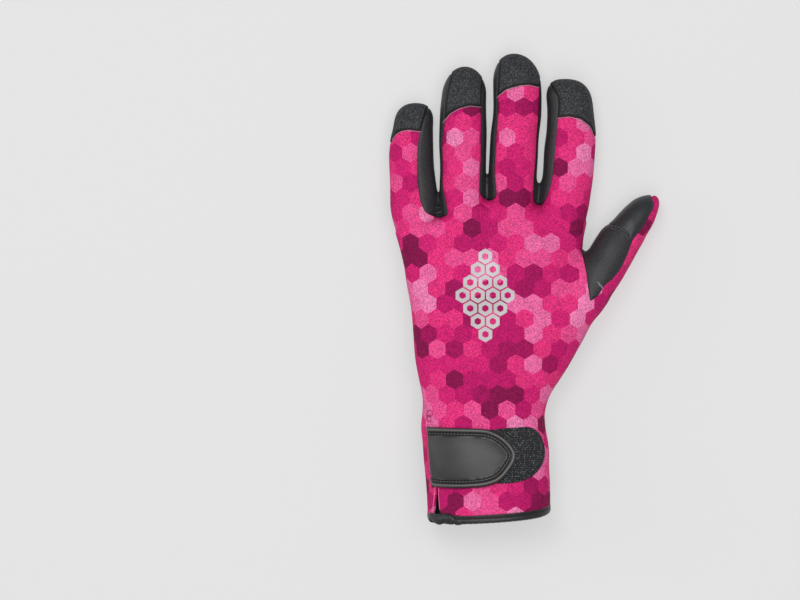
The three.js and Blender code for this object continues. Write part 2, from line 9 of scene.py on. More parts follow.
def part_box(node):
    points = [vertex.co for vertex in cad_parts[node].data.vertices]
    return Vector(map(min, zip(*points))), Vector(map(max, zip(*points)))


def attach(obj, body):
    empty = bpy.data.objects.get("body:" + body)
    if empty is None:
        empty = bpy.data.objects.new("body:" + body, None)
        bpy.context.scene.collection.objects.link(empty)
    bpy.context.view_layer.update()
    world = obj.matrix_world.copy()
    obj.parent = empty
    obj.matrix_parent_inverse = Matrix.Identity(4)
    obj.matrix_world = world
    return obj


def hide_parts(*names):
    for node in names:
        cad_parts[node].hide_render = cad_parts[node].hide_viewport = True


clock = time.time()
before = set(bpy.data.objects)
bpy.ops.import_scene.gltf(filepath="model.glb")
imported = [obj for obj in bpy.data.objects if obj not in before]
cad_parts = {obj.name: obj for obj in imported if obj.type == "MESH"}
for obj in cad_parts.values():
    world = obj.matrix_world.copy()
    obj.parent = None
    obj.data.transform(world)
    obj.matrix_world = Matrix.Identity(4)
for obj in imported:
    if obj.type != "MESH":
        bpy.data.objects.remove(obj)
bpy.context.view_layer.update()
mm = 0.001


def report(stage):
    print("%5.1f s  %s" % (time.time() - clock, stage))


# form of the glove, millimetres
# Plan positions are measured from the knuckle line's own datum; origin moves them into the frame.
glove = {
    "floor": 1.2,        # underside of the neoprene, the palm patches lie below it
    "floorBlend": 1.6,   # how softly the underside flattens there
    "wall": 1.9,
    "remesh": 1.35,
    "bodyRings": (3, 48),      # spacing and sides of the rings that the remesh joins
    "fingerRings": (1.5, 36),
    "relax": 5,
    "longestMove": 1.2,  # of a point on its way to the surface, in one round
    "bands": [(2.0, 0.85), (0.75, 0.45)],  # within this distance of a seam, edges no longer than this
    "fingerBlend": 3.5,  # how softly a finger runs into the palm
    # by y: how far the narrow end of each gap between two fingers is closed
    "cleftBlend": {"little": [(0, 0.5)], "ring": [(40, 4.0), (48, 3.0), (56, 1.0), (66, 0.5)],
                   "middle": [(40, 4.0), (56, 3.6), (62, 2.0), (74, 0.5)],
                   "index": [(40, 5.5), (54.5, 5.0), (60, 2.0), (70, 0.5)]},
    # y where the left and the right side of each finger part from their neighbours
    "parts": {"little": (30, 49), "ring": (49, 59), "middle": (59, 55.5), "index": (55.5, 30)},
    "thumbBlend": 4.5,
}

web = {"x": -26.5, "y": -111.93, "z": 5.9, "wide": 12.0, "layer": 1.0, "tail": 15.0, "wire": 0.85, "gap": 0.3}
low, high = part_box("webbing_loop")
glove["origin"] = (web["x"] - (low[0] + high[0]) / 2 / mm, web["y"] + web["tail"] - high[1] / mm)

# y, left edge, right edge, height of the back, underside before it flattens, squareness
bodyRows = [
    (-150, -50.4, 13.6, 43.0, -1.5, 2.2),
    (-122, -50.4, 13.8, 42.0, -1.5, 2.2),
    (-109, -50.4, 13.6, 41.0, -1.5, 2.2),
    (-97, -51.6, 13.2, 39.5, -1.5, 2.2),
    (-84, -52.7, 13.0, 38.0, -1.3, 2.2),
    (-71, -53.7, 11.2, 36.5, -1.0, 2.2),
    (-65, -53.0, 11.0, 36.0, -0.9, 2.2),
    (-59, -52.9, 12.2, 35.5, -0.8, 2.25),
    (-47, -54.7, 19.2, 34.8, -0.8, 2.3),
    (-34, -57.2, 27.0, 34.0, -0.8, 2.35),
    (-21.5, -57.9, 32.6, 33.0, -0.8, 2.4),
    (-8, -59.4, 33.6, 31.8, -0.8, 2.4),
    (6, -61.6, 32.0, 30.2, -0.8, 2.4),
    (20, -64.2, 30.8, 28.0, -0.8, 2.4),
    (33, -67.0, 31.8, 25.6, -0.6, 2.4),
    (44, -69.0, 32.6, 22.8, -0.4, 2.4),
    (60, -69.0, 32.6, 22.0, -0.4, 2.4),
]
bodyEnd = 44  # y up to which the palm's rings go for the remesh
# where the palm ends between the fingers: x, y of the crotch
crotchRows = [(-80, 30), (-60, 36), (-45, 37.6), (-33, 44.0), (-19, 46.4), (-6, 46.0), (8, 43.0), (24, 43.0),
              (40, 36)]

fingerSquare = 2.15  # 2 is an ellipse
# centre x, y, half the width, height of the back, underside
fingerRows = {
    "little": {"tip": 96.8, "round": 12.0, "blunt": 2.5, "rows": [
        (-55.0, 14, 6.0, 18.0, 5.0), (-57.2, 43, 12.5, 20.6, 0.1), (-57.5, 50, 12.3, 20.0, 0.1),
        (-58.1, 57, 11.9, 19.6, 0.1), (-58.6, 64, 11.7, 19.2, 0.1),
        (-58.8, 71, 11.6, 18.8, 0.2), (-58.4, 79, 11.0, 18.2, 0.3), (-57.6, 85.5, 10.3, 17.8, 0.4),
        (-57.0, 92, 10.3, 17.6, 0.4), (-56.6, 99, 10.3, 17.6, 0.4)]},
    "ring": {"tip": 115.8, "round": 14.5, "blunt": 2.0, "rows": [
        (-31.0, 18, 8.0, 20.0, 5.0), (-31.9, 44, 12.0, 23.0, 0.0), (-31.8, 62, 12.0, 21.4, 0.0),
        (-31.8, 78, 12.4, 20.4, 0.1), (-31.7, 92, 12.1, 19.8, 0.2), (-31.2, 102, 11.6, 19.4, 0.3),
        (-30.8, 110, 11.4, 19.2, 0.4), (-30.5, 118, 11.4, 19.2, 0.4)]},
    "middle": {"tip": 122.6, "round": 15.5, "blunt": 2.1, "rows": [
        (-7.0, 18, 8.0, 20.0, 5.0), (-6.1, 46, 12.4, 24.0, 0.0), (-5.6, 62, 12.7, 22.6, 0.0),
        (-4.8, 78, 12.7, 21.4, 0.1), (-3.4, 92, 12.6, 20.8, 0.2), (-3.3, 103, 12.6, 20.4, 0.3),
        (-3.9, 112, 12.3, 20.2, 0.4), (-4.6, 124, 12.2, 20.2, 0.4)]},
    "index": {"tip": 109.4, "round": 13.0, "blunt": 2.6, "rows": [
        (17.0, 14, 6.5, 18.0, 5.0), (21.2, 44, 12.9, 22.8, 0.0), (22.0, 52, 13.2, 22.2, 0.0),
        (23.1, 60, 13.2, 21.8, 0.0),
        (24.0, 73, 13.3, 20.8, 0.1), (24.7, 83, 12.8, 20.2, 0.2), (24.3, 93, 12.1, 19.6, 0.3),
        (23.5, 101, 12.0, 19.2, 0.4), (22.6, 111, 12.0, 19.2, 0.4)]},
    "thumb": {"tip": 93.7, "round": 15.0, "blunt": 2.0, "rows": [
        (15.0, -28.0, 7.0, 28.0, 4.0), (28.7, -7.6, 11.8, 29.0, 1.5), (37.5, 5.4, 12.0, 27.4, 0.6),
        (42.9, 13.2, 11.6, 26.0, 0.3), (47.1, 20.1, 11.5, 24.6, 0.2), (51.3, 26.4, 10.7, 22.6, 0.2),
        (54.5, 29.4, 9.5, 21.8, 0.3), (57.4, 32.8, 8.5, 21.0, 0.3), (61.0, 37.0, 7.5, 20.0, 0.5),
        (64.7, 42.2, 6.8, 19.2, 0.8), (68.9, 47.4, 6.4, 18.6, 1.1), (70.7, 49.9, 6.3, 18.6, 1.2)]},
}

# reach of the cuff at each height, on the little finger side and on the thumb side
hem = {"xLeft": -60.0, "xRight": 26.0, "turn": 1.4,
       "rows": [(-12, -104.5, -105.0), (0, -107.0, -108.0), (6, -112.0, -111.2), (12, -117.0, -113.8),
                (17, -119.6, -114.8), (22, -121.0, -115.8), (34, -123.4, -118.2), (62, -126.0, -122.0)]}
seamRows = [(-150, 13.5), (-60, 12.0), (-20, 9.5), (45, 7.2), (130, 6.4)]  # y, height of the side seam

outlines = {
    "thumb_inner": [
        (34.7, -6.4), (38.7, -3.5), (40.6, -0.7), (42.4, 1.6), (45.2, 4.0), (47.9, 6.8), (51.2, 11.0), (54.0, 17.0),
        (55.8, 22.2), (57.6, 26.2), (61.4, 30.4), (63.8, 34.6), (66.4, 39.2), (68.0, 42.4), (68.3, 44.8),
        (67.2, 48.0), (66.6, 58.0), (54, 60), (40, 48), (34.6, 30.0), (32.2, 22.5), (30.5, 19.4), (31.7, 10.0),
        (33.0, 1.7), (34.0, -4.4)],
    "fourchette_little_ring": [
        (-50.2, 94.4), (-53.4, 84.4), (-55.0, 77.0), (-55.6, 70.0), (-55.6, 57.0), (-54.6, 49.0), (-53.2, 43.3),
        (-50.6, 39.4), (-44.6, 37.2), (-40.6, 39.0), (-40.8, 43.0), (-42.6, 52.0), (-42.8, 67.1), (-42.6, 79.0),
        (-41.0, 91.6), (-39.8, 103.0), (-37.6, 111.0), (-39.4, 116.5), (-44.6, 108.0), (-46.4, 98.0), (-46.8, 97.0)],
    "fourchette_ring_middle": [
        (-21.0, 113.5), (-21.8, 109.0), (-22.1, 103.0), (-22.2, 94.7), (-22.3, 72.0), (-22.9, 54.0), (-22.4, 49.4),
        (-19.6, 46.6), (-16.4, 46.6), (-14.8, 49.4), (-15.6, 60.3), (-15.2, 71.3), (-14.2, 86.0), (-13.8, 96.0),
        (-13.4, 104.0), (-13.0, 112.0), (-12.6, 118.0), (-14.6, 121.6), (-18.0, 119.0), (-19.6, 115.0)],
    "fourchette_middle_index": [
        (8.4, 111.0), (8.4, 104.0), (8.2, 98.0), (7.6, 87.0), (6.9, 74.0), (6.2, 62.0), (5.2, 49.4), (6.2, 44.4),
        (9.0, 43.6), (11.8, 48.0), (14.4, 56.5), (15.4, 64.0), (16.2, 73.9), (17.5, 88.0), (17.9, 98.0),
        (16.4, 102.8), (14.0, 106.4), (11.6, 110.4), (10.4, 112.4)],
}
caps = {
    "little": [
        (-76, 72.0), (-70.4, 75.2), (-69.0, 78.2), (-67.0, 80.9), (-64.0, 82.4), (-60.6, 82.9), (-56.0, 82.4),
        (-53.8, 82.2), (-46.6, 80.6), (-46.6, 104), (-76, 104)],
    "ring": [
        (-46, 82.0), (-43.4, 85.6), (-41.8, 88.0), (-38.6, 91.5), (-33.9, 94.1), (-28.2, 95.6), (-22.4, 95.0),
        (-18.4, 93.4), (-18.2, 124), (-46, 124)],
    "middle": [
        (-18.2, 96.4), (-13.3, 101.0), (-9.4, 104.0), (-2.1, 106.0), (2.6, 106.4), (8.9, 105.2), (11.2, 104.2),
        (11.2, 132), (-18.2, 132)],
    "index": [
        (11.3, 88.6), (17.5, 89.2), (23.5, 89.9), (29.8, 88.5), (34.6, 85.0), (37.2, 80.2), (40, 76.0), (44, 74.0),
        (44, 118), (11.3, 118)],
}
thumbZone = [(34.6, 28.0), (38, 66), (90, 66), (90, -8), (46, -32), (30.4, -15.0), (34.0, -2.9), (32.2, 8.1),
             (30.6, 19.8)]
slit = [(-46.2, -76.0), (-45.2, -76.0), (-45.2, -104.0), (-44.7, -112.0), (-43.6, -117.0), (-42.9, -122.0),
        (-42.9, -140), (-49.1, -140), (-48.3, -119.4), (-47.1, -114.0), (-46.2, -104.0)]
bindStart = -35.8   # the binding of the flap begins here, the rest of its hem lies under the fold


# small geometry helpers
def smoothRows(rows, step):
    rows = np.array(rows, float)
    t = rows[:, 0]
    slope = np.gradient(rows, t, axis=0)
    at = np.linspace(t[0], t[-1], int((t[-1] - t[0]) / step) + 1)
    k = np.clip(np.searchsorted(t, at, side="right") - 1, 0, len(t) - 2)
    h = (t[k + 1] - t[k])[:, None]
    q = (at - t[k])[:, None] / h
    out = ((2 * q**3 - 3 * q**2 + 1) * rows[k] + (q**3 - 2 * q**2 + q) * h * slope[k]
           + (3 * q**2 - 2 * q**3) * rows[k + 1] + (q**3 - q**2) * h * slope[k + 1])
    out[:, 0] = at
    return out


def readRows(rows, x, column=1):
    rows = np.array(rows, float)
    return np.interp(x, rows[:, 0], rows[:, column])


def roundOutline(points, steps=5):
    p = np.array(points, float)
    a, b, c, d = np.roll(p, 1, 0), p, np.roll(p, -1, 0), np.roll(p, -2, 0)
    out = []
    for q in np.arange(steps) / steps:
        out.append(0.5 * (2 * b + (c - a) * q + (2 * a - 5 * b + 4 * c - d) * q**2
                          + (3 * b - a - 3 * c + d) * q**3))
    return np.stack(out, 1).reshape(-1, 2)


def nearLine(path, pts):
    # for each piece of a line: how far along it the nearest point lies, and the distance in plan
    for a, b in zip(path[:-1], path[1:]):
        e, w = b - a, pts[:, :2] - a
        q = np.clip((w @ e) / max(e @ e, 1e-12), 0, 1)
        yield q, np.linalg.norm(w - q[:, None] * e, axis=1)


def lineDistance(path, pts):
    best = np.full(len(pts), 1e9)
    for _, distance in nearLine(np.array(path, float)[:, :2], pts):
        best = np.minimum(best, distance)
    return best


def unit(v):
    return v / np.maximum(np.linalg.norm(v, axis=1), 1e-9)[:, None]


def edgesOf(tris):
    return np.stack([tris, np.roll(tris, -1, 1)], 2).reshape(-1, 2)


def quadsOf(index):
    # faces between neighbours in a grid of point numbers
    return np.stack([index[:-1, :-1], index[1:, :-1], index[1:, 1:], index[:-1, 1:]], -1).reshape(-1, 4)


def trisOf(quads):
    return np.concatenate([quads[:, :3], quads[:, [0, 2, 3]]])


def tubeQuads(rings, sides, closed=False):
    index = np.arange(rings * sides).reshape(rings, sides)
    index = np.column_stack([index, index[:, :1]])
    return quadsOf(np.vstack([index, index[:1]]) if closed else index)[:, [0, 3, 2, 1]]


def renumbered(tris):
    # the points that some triangles use, and the triangles in their numbers
    used, back = np.unique(tris, return_inverse=True)
    return used, back.reshape(-1, 3)


def outlineField(poly, pts):
    # signed distance in plan, positive inside
    lo, hi = poly.min(0) - 12, poly.max(0) + 12
    out = np.full(len(pts), -12.0)
    near = np.all((pts[:, :2] > lo) & (pts[:, :2] < hi), axis=1)
    p = pts[near][:, :2]
    inside = np.zeros(len(p), bool)
    for a, b in zip(poly, np.roll(poly, -1, 0)):
        crosses = ((a[1] > p[:, 1]) != (b[1] > p[:, 1]))
        if crosses.any():
            inside ^= crosses & (p[:, 0] < (b[0] - a[0]) * (p[:, 1] - a[1]) / (b[1] - a[1] + 1e-12) + a[0])
    out[near] = np.where(inside, 1, -1) * lineDistance(np.vstack([poly, poly[:1]]), p)
    return out


def rise(x, low, high):
    q = np.clip((x - low) / (high - low), 0, 1)
    return q * q * (3 - 2 * q)


def softMin(a, b, k):
    h = np.maximum(k - np.abs(a - b), 0) / k
    return np.minimum(a, b) - h * h * k / 4


# limbs and the field around them
class Limb:
    def __init__(self, rows, tip=None, roundLength=5.0, blunt=2.1, body=False):
        self.body = body
        if body:
            self.origin, self.along, self.across = np.zeros(2), np.array([0.0, 1.0]), np.array([1.0, 0.0])
            table = [(y, (l + r) / 2, (r - l) / 2, top, under, n) for y, l, r, top, under, n in rows]
            self.tip = None
        else:
            p = np.array([r[:2] for r in rows], float)
            self.origin, self.along = p[0], unit(p[-1:] - p[0])[0]
            self.across = np.array([self.along[1], -self.along[0]])
            table = [((q - p[0]) @ self.along, (q - p[0]) @ self.across, *r[2:], fingerSquare)
                     for q, r in zip(p, rows)]
            # a finger's tip is given as y, the thumb's as a length along it
            self.tip = tip if self.along[0] > 0.5 else (tip - p[0][1]) / self.along[1]
        self.roundLength, self.blunt = roundLength, blunt
        self.table = smoothRows(table, 0.5)

    def at(self, t):
        return [readRows(self.table, t, k) for k in range(1, 6)]

    def closure(self, t, x):
        # the end rounds off like an ellipse
        end = readRows(crotchRows, x) if self.body else self.tip
        q = np.clip((t - (end - self.roundLength)) / self.roundLength, 0, 0.9999)
        return np.maximum((1 - q**self.blunt), 1e-4) ** (1 / self.blunt)

    def local(self, p):
        rel = p[:, :2] - self.origin
        t = rel @ self.along
        w = rel @ self.across
        centre, half, top, under, square = self.at(t)
        close = self.closure(t, p[:, 0])
        mid, high = (top + under) / 2, (top - under) / 2
        return t, w - centre, half * close, mid, high * close, square

    def field(self, p):
        t, w, a, mid, b, n = self.local(p)
        a, b = np.maximum(a, 0.4), np.maximum(b, 0.4)
        u, v = np.abs(w) / a, np.abs(p[:, 2] - mid) / b
        rho = np.maximum((u**n + v**n), 1e-9) ** (1 / n)
        gu, gv = (u / rho) ** (n - 1) / a, (v / rho) ** (n - 1) / b
        d = (rho - 1) / np.maximum(np.sqrt(gu * gu + gv * gv), 1e-3)
        if self.body:
            beyond = np.maximum(t - readRows(crotchRows, p[:, 0]), 0)
        else:
            beyond = np.maximum(np.maximum(t - self.tip, -t), 0)
        return np.where(beyond > 0, np.sqrt(np.maximum(d, 0) ** 2 + beyond**2), d)


body = Limb(bodyRows, body=True)
limbs = {name: Limb(f["rows"], f["tip"], f["round"], f["blunt"]) for name, f in fingerRows.items()}


def gloveField(p):
    d = body.field(p)
    fingers = None
    for name in ("little", "ring", "middle", "index"):
        f = limbs[name].field(p)
        cleft = readRows(glove["cleftBlend"][name], p[:, 1])
        fingers = f if fingers is None else softMin(fingers, f, cleft)
    d = softMin(d, fingers, glove["fingerBlend"])
    d = softMin(d, limbs["thumb"].field(p), glove["thumbBlend"])
    return -softMin(-d, p[:, 2] - glove["floor"], glove["floorBlend"])


def gradient(p, step=0.15):
    g = np.empty_like(p)
    for k in range(3):
        e = np.zeros(3)
        e[k] = step
        g[:, k] = (gloveField(p + e) - gloveField(p - e)) / (2 * step)
    return g


def toSurface(p, rounds):
    for _ in range(rounds):
        g = gradient(p)
        move = gloveField(p)[:, None] * g / np.maximum((g * g).sum(1), 0.05)[:, None]
        size = np.linalg.norm(move, axis=1)
        p = p - move * np.minimum(1, glove["longestMove"] / np.maximum(size, 1e-9))[:, None]
    return p


def limbRings(limb, start, stop, spacing, parts=None):
    step, sides = spacing
    rings = []
    for t in np.append(np.arange(start, stop, step), stop):
        ts = np.full(sides, t)
        turn = 2 * np.pi * np.arange(sides) / sides
        c, s = np.cos(turn), np.sin(turn)
        centre, half, top, under, n = [v[0] for v in limb.at(ts)]
        middle = limb.origin + limb.along * t + limb.across * centre
        # fingers start out slim, so that the remesh keeps them apart
        slim = np.ones(sides)
        if parts:
            left, right = [np.interp(middle[1] - y, [0, 6], [1.0, 0.86]) for y in parts]
            slim = np.where(c < 0, left, right)
        close = 1.0 if limb.body else limb.closure(ts, ts)[0]
        u = np.sign(c) * np.abs(c) ** (2 / n) * half * close * slim
        v = (top + under) / 2 + np.sign(s) * np.abs(s) ** (2 / n) * (top - under) / 2 * close
        rings.append(np.column_stack([middle + np.outer(u, limb.across), np.maximum(v, glove["floor"])]))
    return rings


def ringMesh(rings):
    count, sides = len(rings), len(rings[0])
    ends = [tuple(range(sides))[::-1], tuple(range((count - 1) * sides, count * sides))]
    return np.concatenate(rings), [tuple(q) for q in tubeQuads(count, sides).tolist()] + ends


def addObject(name, data):
    obj = bpy.data.objects.new(name, data)
    bpy.context.scene.collection.objects.link(obj)
    return obj


def baseMesh():
    # the limbs joined by a voxel remesh, in millimetres
    verts, faces = [], []
    parts = [limbRings(body, bodyRows[0][0], bodyEnd, glove["bodyRings"])]
    for name, limb in limbs.items():
        parts.append(limbRings(limb, 0, limb.tip - 0.4, glove["fingerRings"], glove["parts"].get(name)))
    for rings in parts:
        v, f = ringMesh(rings)
        base = sum(len(x) for x in verts)
        verts.append(v)
        faces += [tuple(i + base for i in face) for face in f]
    mesh = bpy.data.meshes.new("baseForm")
    mesh.from_pydata(np.concatenate(verts).tolist(), [], faces)
    obj = addObject("baseForm", mesh)
    modifier = obj.modifiers.new("remesh", "REMESH")
    modifier.mode = "VOXEL"
    modifier.voxel_size = glove["remesh"]
    graph = bpy.context.evaluated_depsgraph_get()
    mesh = bpy.data.meshes.new_from_object(obj.evaluated_get(graph))
    p = np.empty(len(mesh.vertices) * 3)
    mesh.vertices.foreach_get("co", p)
    quads = np.array([tuple(f.vertices) for f in mesh.polygons if len(f.vertices) == 4])
    edges = np.empty(len(mesh.edges) * 2, int)
    mesh.edges.foreach_get("vertices", edges)
    bpy.data.meshes.remove(mesh)
    bpy.data.objects.remove(obj)
    return p.reshape(-1, 3), quads, edges.reshape(-1, 2)


def relax(p, edges, amount):
    total = np.zeros_like(p)
    count = np.bincount(edges.ravel(), minlength=len(p))[:, None]
    for k in range(3):
        total[:, k] = (np.bincount(edges[:, 0], p[edges[:, 1], k], len(p))
                       + np.bincount(edges[:, 1], p[edges[:, 0], k], len(p)))
    return p + amount * (total / np.maximum(count, 1) - p)


points, quads, edges = baseMesh()
report("remeshed form, %d points" % len(points))
points = toSurface(points, 4)
for _ in range(glove["relax"]):
    points = relax(points, edges, 0.5)
    points = toSurface(points, 1)
points = toSurface(points, 2)
report("form drawn onto the limbs")


# cutting the skin into panels
def insertPoints(p, tris, chosen, fraction):
    # chosen edges get one new point each, and their triangles are divided to match
    e = np.sort(edgesOf(tris), 1)
    pick = chosen(e)
    _, first, back = np.unique((e[:, 0] * len(p) + e[:, 1])[pick], return_index=True, return_inverse=True)
    ends = e[pick][first]
    q = fraction(ends)[:, None]
    new = p[ends[:, 0]] * (1 - q) + p[ends[:, 1]] * q
    mid = np.full(len(e), -1)
    mid[pick] = len(p) + back.ravel()
    mid = mid.reshape(-1, 3)
    count = (mid >= 0).sum(1)
    out = [tris[count == 0]]
    for turn in range(3):
        t, m = np.roll(tris, -turn, 1), np.roll(mid, -turn, 1)
        one = (count == 1) & (m[:, 0] >= 0)
        a, b, c = t[one].T
        ab = m[one][:, 0]
        out += [np.stack([a, ab, c], 1), np.stack([ab, b, c], 1)]
        two = (count == 2) & (m[:, 0] >= 0) & (m[:, 1] >= 0)
        a, b, c = t[two].T
        ab, bc = m[two][:, 0], m[two][:, 1]
        out += [np.stack([ab, b, bc], 1), np.stack([a, ab, bc], 1), np.stack([a, bc, c], 1)]
    a, b, c = tris[count == 3].T
    ab, bc, ca = mid[count == 3].T
    out += [np.stack(x, 1) for x in ((a, ab, ca), (ab, b, bc), (ca, bc, c), (ab, bc, ca))]
    return np.concatenate([p, new]), np.concatenate(out)


def cutAlong(p, tris, field, near=0.05):
    value = field(p)
    value = np.where(np.abs(value) < near, 0, value)
    return insertPoints(p, tris, lambda e: value[e[:, 0]] * value[e[:, 1]] < 0,
                        lambda e: value[e[:, 0]] / (value[e[:, 0]] - value[e[:, 1]]))


def refine(p, tris, measure, band, longest):
    def chosen(e):
        length = np.linalg.norm(p[e[:, 0]] - p[e[:, 1]], axis=1)
        return (measure[e].min(1) < band) & (length > longest)
    return insertPoints(p, tris, chosen, lambda e: np.full(len(e), 0.5))


def hemHeight(p):
    left, right = readRows(hem["rows"], p[:, 2]), readRows(hem["rows"], p[:, 2], 2)
    slope = (right - left) / (hem["xRight"] - hem["xLeft"])
    return p[:, 1] - (left + slope * (p[:, 0] - hem["xLeft"])) - hem["turn"]


def seamHeight(p):
    return p[:, 2] - readRows(seamRows, p[:, 1])


def within(shape):
    return lambda p: outlineField(shape, p)


shapes = {name: roundOutline(o) for name, o in outlines.items()}
shapes.update({"cap_" + name: np.array(o, float) for name, o in caps.items()})
slitShape, slitFoot = np.array(slit, float), 4.0


def inSlit(p):
    return np.minimum(outlineField(slitShape, p), seamHeight(p) - slitFoot)


seamFields = {"hem": hemHeight, "slit": inSlit, "zone": within(roundOutline(thumbZone)),
              "thumb_inner": within(shapes["thumb_inner"]), "side": seamHeight}
seamFields.update({name: within(shape) for name, shape in shapes.items()})


def seamDistance(p):
    values = {name: field(p) for name, field in seamFields.items()}
    above, zone = values["side"], values["zone"]
    counts = {"hem": True, "slit": True, "thumb_inner": True, "side": zone < 0.5, "zone": above < 0.5}
    upper = (above > -0.5) | (zone > 0)
    return np.min([np.where(counts.get(name, upper), np.abs(v), 9) for name, v in values.items()], axis=0)


def panelNames(p):
    tests = [("", hemHeight(p) < 0), ("", inSlit(p) > 0),
             ("palm_panel", (seamHeight(p) < 0) & (seamFields["zone"](p) < 0))]
    tests += [(name, seamFields[name](p) > 0) for name in shapes]
    labels = np.full(len(p), "back_panel", dtype=object)
    for name, mask in reversed(tests):
        labels[mask] = name
    return labels


cleftLines = [[(-47.0, 38), (-46.4, 60)], [(-19, 46), (-18.5, 66)], [(8.2, 44), (9.8, 62)], [(31, 16), (35, 23)]]


def cleftDistance(p):
    return np.minimum(9, np.min([lineDistance(line, p) for line in cleftLines], axis=0))


tris = trisOf(quads)
tris = tris[hemHeight(points)[tris].max(1) > -6]
for band, longest in glove["bands"]:
    measure = np.minimum(seamDistance(points), cleftDistance(points) - 3 + band)
    points, tris = refine(points, tris, measure, band, longest)
points = toSurface(points, 1)
points = relax(points, np.unique(np.sort(edgesOf(tris), 1), axis=0), 0.35)
points = toSurface(points, 1)
for field in seamFields.values():
    points, tris = cutAlong(points, tris, field)
used, tris = renumbered(tris)
points = toSurface(points[used], 1)
normals = unit(gradient(points))
labels = panelNames(points[tris].mean(1))
report("panels cut, %d triangles" % len(tris))


def borderEdges(tris, labels):
    # edges between two labels, directed as in the first triangle
    e, own = edgesOf(tris), np.repeat(labels, 3)
    order = np.lexsort((e.max(1), e.min(1)))
    s = np.sort(e[order], 1)
    same = np.all(s[1:] == s[:-1], axis=1)
    left, right = order[:-1][same], order[1:][same]
    split = own[left] != own[right]
    return e[left[split]], own[left[split]], own[right[split]]


def treeOf(pts):
    tree = kdtree.KDTree(len(pts))
    for i, q in enumerate(pts.tolist()):
        tree.insert(q, i)
    tree.balance()
    return tree


def distanceTo(tree, pts):
    return np.array([tree.find(q)[2] for q in pts.tolist()])


border, borderOne, borderTwo = borderEdges(tris, labels)
borderPoints = np.concatenate([points[border[:, 0]], points[border[:, 1]], points[border].mean(1)])
edgeDistance = distanceTo(treeOf(borderPoints), points)
report("distance to the seams")


# pattern coordinates by arc length
def arcTable():
    ratios = np.linspace(0.3, 2.0, 35)
    turns = np.linspace(-math.pi / 2, math.pi / 2, 181)  # from the underside to the top
    n = 2.25
    table = []
    for r in ratios:
        u = np.abs(np.cos(turns)) ** (2 / n)
        v = np.sign(np.sin(turns)) * np.abs(np.sin(turns)) ** (2 / n) * r
        run = np.append(0, np.cumsum(np.hypot(np.diff(u), np.diff(v))))
        table.append(run[-1] - run)
    return ratios, turns, np.array(table)


arcRatios, arcTurns, arcLengths = arcTable()


def patternCoordinates(p):
    total, shift = np.zeros(len(p)), np.zeros((len(p), 2))
    for limb in [body] + list(limbs.values()):
        _, w, a, mid, b, _ = limb.local(p)
        d = np.abs(limb.field(p))
        a, b = np.maximum(a, 0.5), np.maximum(b, 0.5)
        turn = np.arctan2(np.sign(p[:, 2] - mid) * np.minimum(np.abs(p[:, 2] - mid) / b, 1) ** 1.12,
                          np.minimum(np.abs(w) / a, 1) ** 1.12)
        r = np.clip((b / a - arcRatios[0]) / (arcRatios[1] - arcRatios[0]), 0, len(arcRatios) - 1.001)
        q = np.clip((turn - arcTurns[0]) / (arcTurns[1] - arcTurns[0]), 0, len(arcTurns) - 1.001)
        i, j = r.astype(int), q.astype(int)
        fi, fj = r - i, q - j
        arc = a * ((1 - fi) * ((1 - fj) * arcLengths[i, j] + fj * arcLengths[i, j + 1])
                   + fi * ((1 - fj) * arcLengths[i + 1, j] + fj * arcLengths[i + 1, j + 1]))
        weight = np.exp(-np.minimum(d, 30) / 1.5) + 1e-9
        total += weight
        shift += weight[:, None] * (np.sign(w) * (arc - np.abs(w)))[:, None] * limb.across
    return p[:, :2] + shift / total[:, None]


pattern = patternCoordinates(points)
report("pattern coordinates")


# soft folds pressed into the cloth
folds = [  # half width, height, path in plan
    (1.1, -0.55, [(-50.5, 35.5), (-46, 33.6), (-40, 34.6)]),
    (1.6, 0.35, [(-52.0, 32.0), (-46, 30.2), (-38, 31.6)]),
    (1.1, -0.6, [(-24.0, 45.4), (-19, 42.0), (-14.0, 44.6)]),
    (1.6, 0.35, [(-25.5, 41.0), (-19, 38.4), (-12.0, 40.6)]),
    (1.1, -0.6, [(3.0, 41.4), (8, 39.4), (13.4, 42.4)]),
    (1.6, 0.3, [(1.0, 37.6), (8, 35.8), (15.0, 38.6)]),
    (1.6, -0.5, [(39.0, -6.0), (43.2, -1.4), (46.6, 4.6)]),
    (2.4, 0.5, [(34.0, -14.0), (40.0, -7.6), (46.0, -3.0)]),
    (2.6, -0.5, [(28.0, -4.0), (33.0, 4.0), (33.0, 14.0)]),
    (5.0, -0.5, [(-58, 20), (-46, 12), (-30, 8)]),
    (4.0, -0.45, [(-12, -34), (6, -42), (16, -52)]),
    (4.0, -0.45, [(-50, -52), (-36, -60), (-18, -62)]),
    (4.5, -0.5, [(20, 30), (24, 20), (24, 6)]),
    (3.5, -0.3, [(-3, 70), (0, 60), (-4, 52)]),
    (2.6, -0.35, [(-70, 56), (-62, 58), (-54, 56)]),
    (2.6, -0.35, [(-42, 64), (-34, 66), (-24, 63)]),
    (2.8, -0.35, [(-16, 74), (-6, 77), (6, 73)]),
    (2.8, -0.35, [(14, 64), (24, 67), (35, 62)]),
    (1.6, -0.3, [(52, 30), (57, 24), (62, 26)]),
]


def foldHeight(p):
    total = np.zeros(len(p))
    for wide, high, path in folds:
        path = np.array(path, float)
        lengths = np.append(0, np.cumsum(np.linalg.norm(np.diff(path, axis=0), axis=1)))
        best, run = np.full(len(p), 1e9), np.zeros(len(p))
        for k, (q, d) in enumerate(nearLine(path, p)):
            run = np.where(d < best, lengths[k] + q * (lengths[k + 1] - lengths[k]), run)
            best = np.minimum(best, d)
        taper = rise(run, 0, lengths[-1] * 0.4) * rise(-run, -lengths[-1], -lengths[-1] * 0.6)
        total += high * np.exp(-(best / wide) ** 2) * taper
    return total * rise(seamHeight(p), 0, 6)


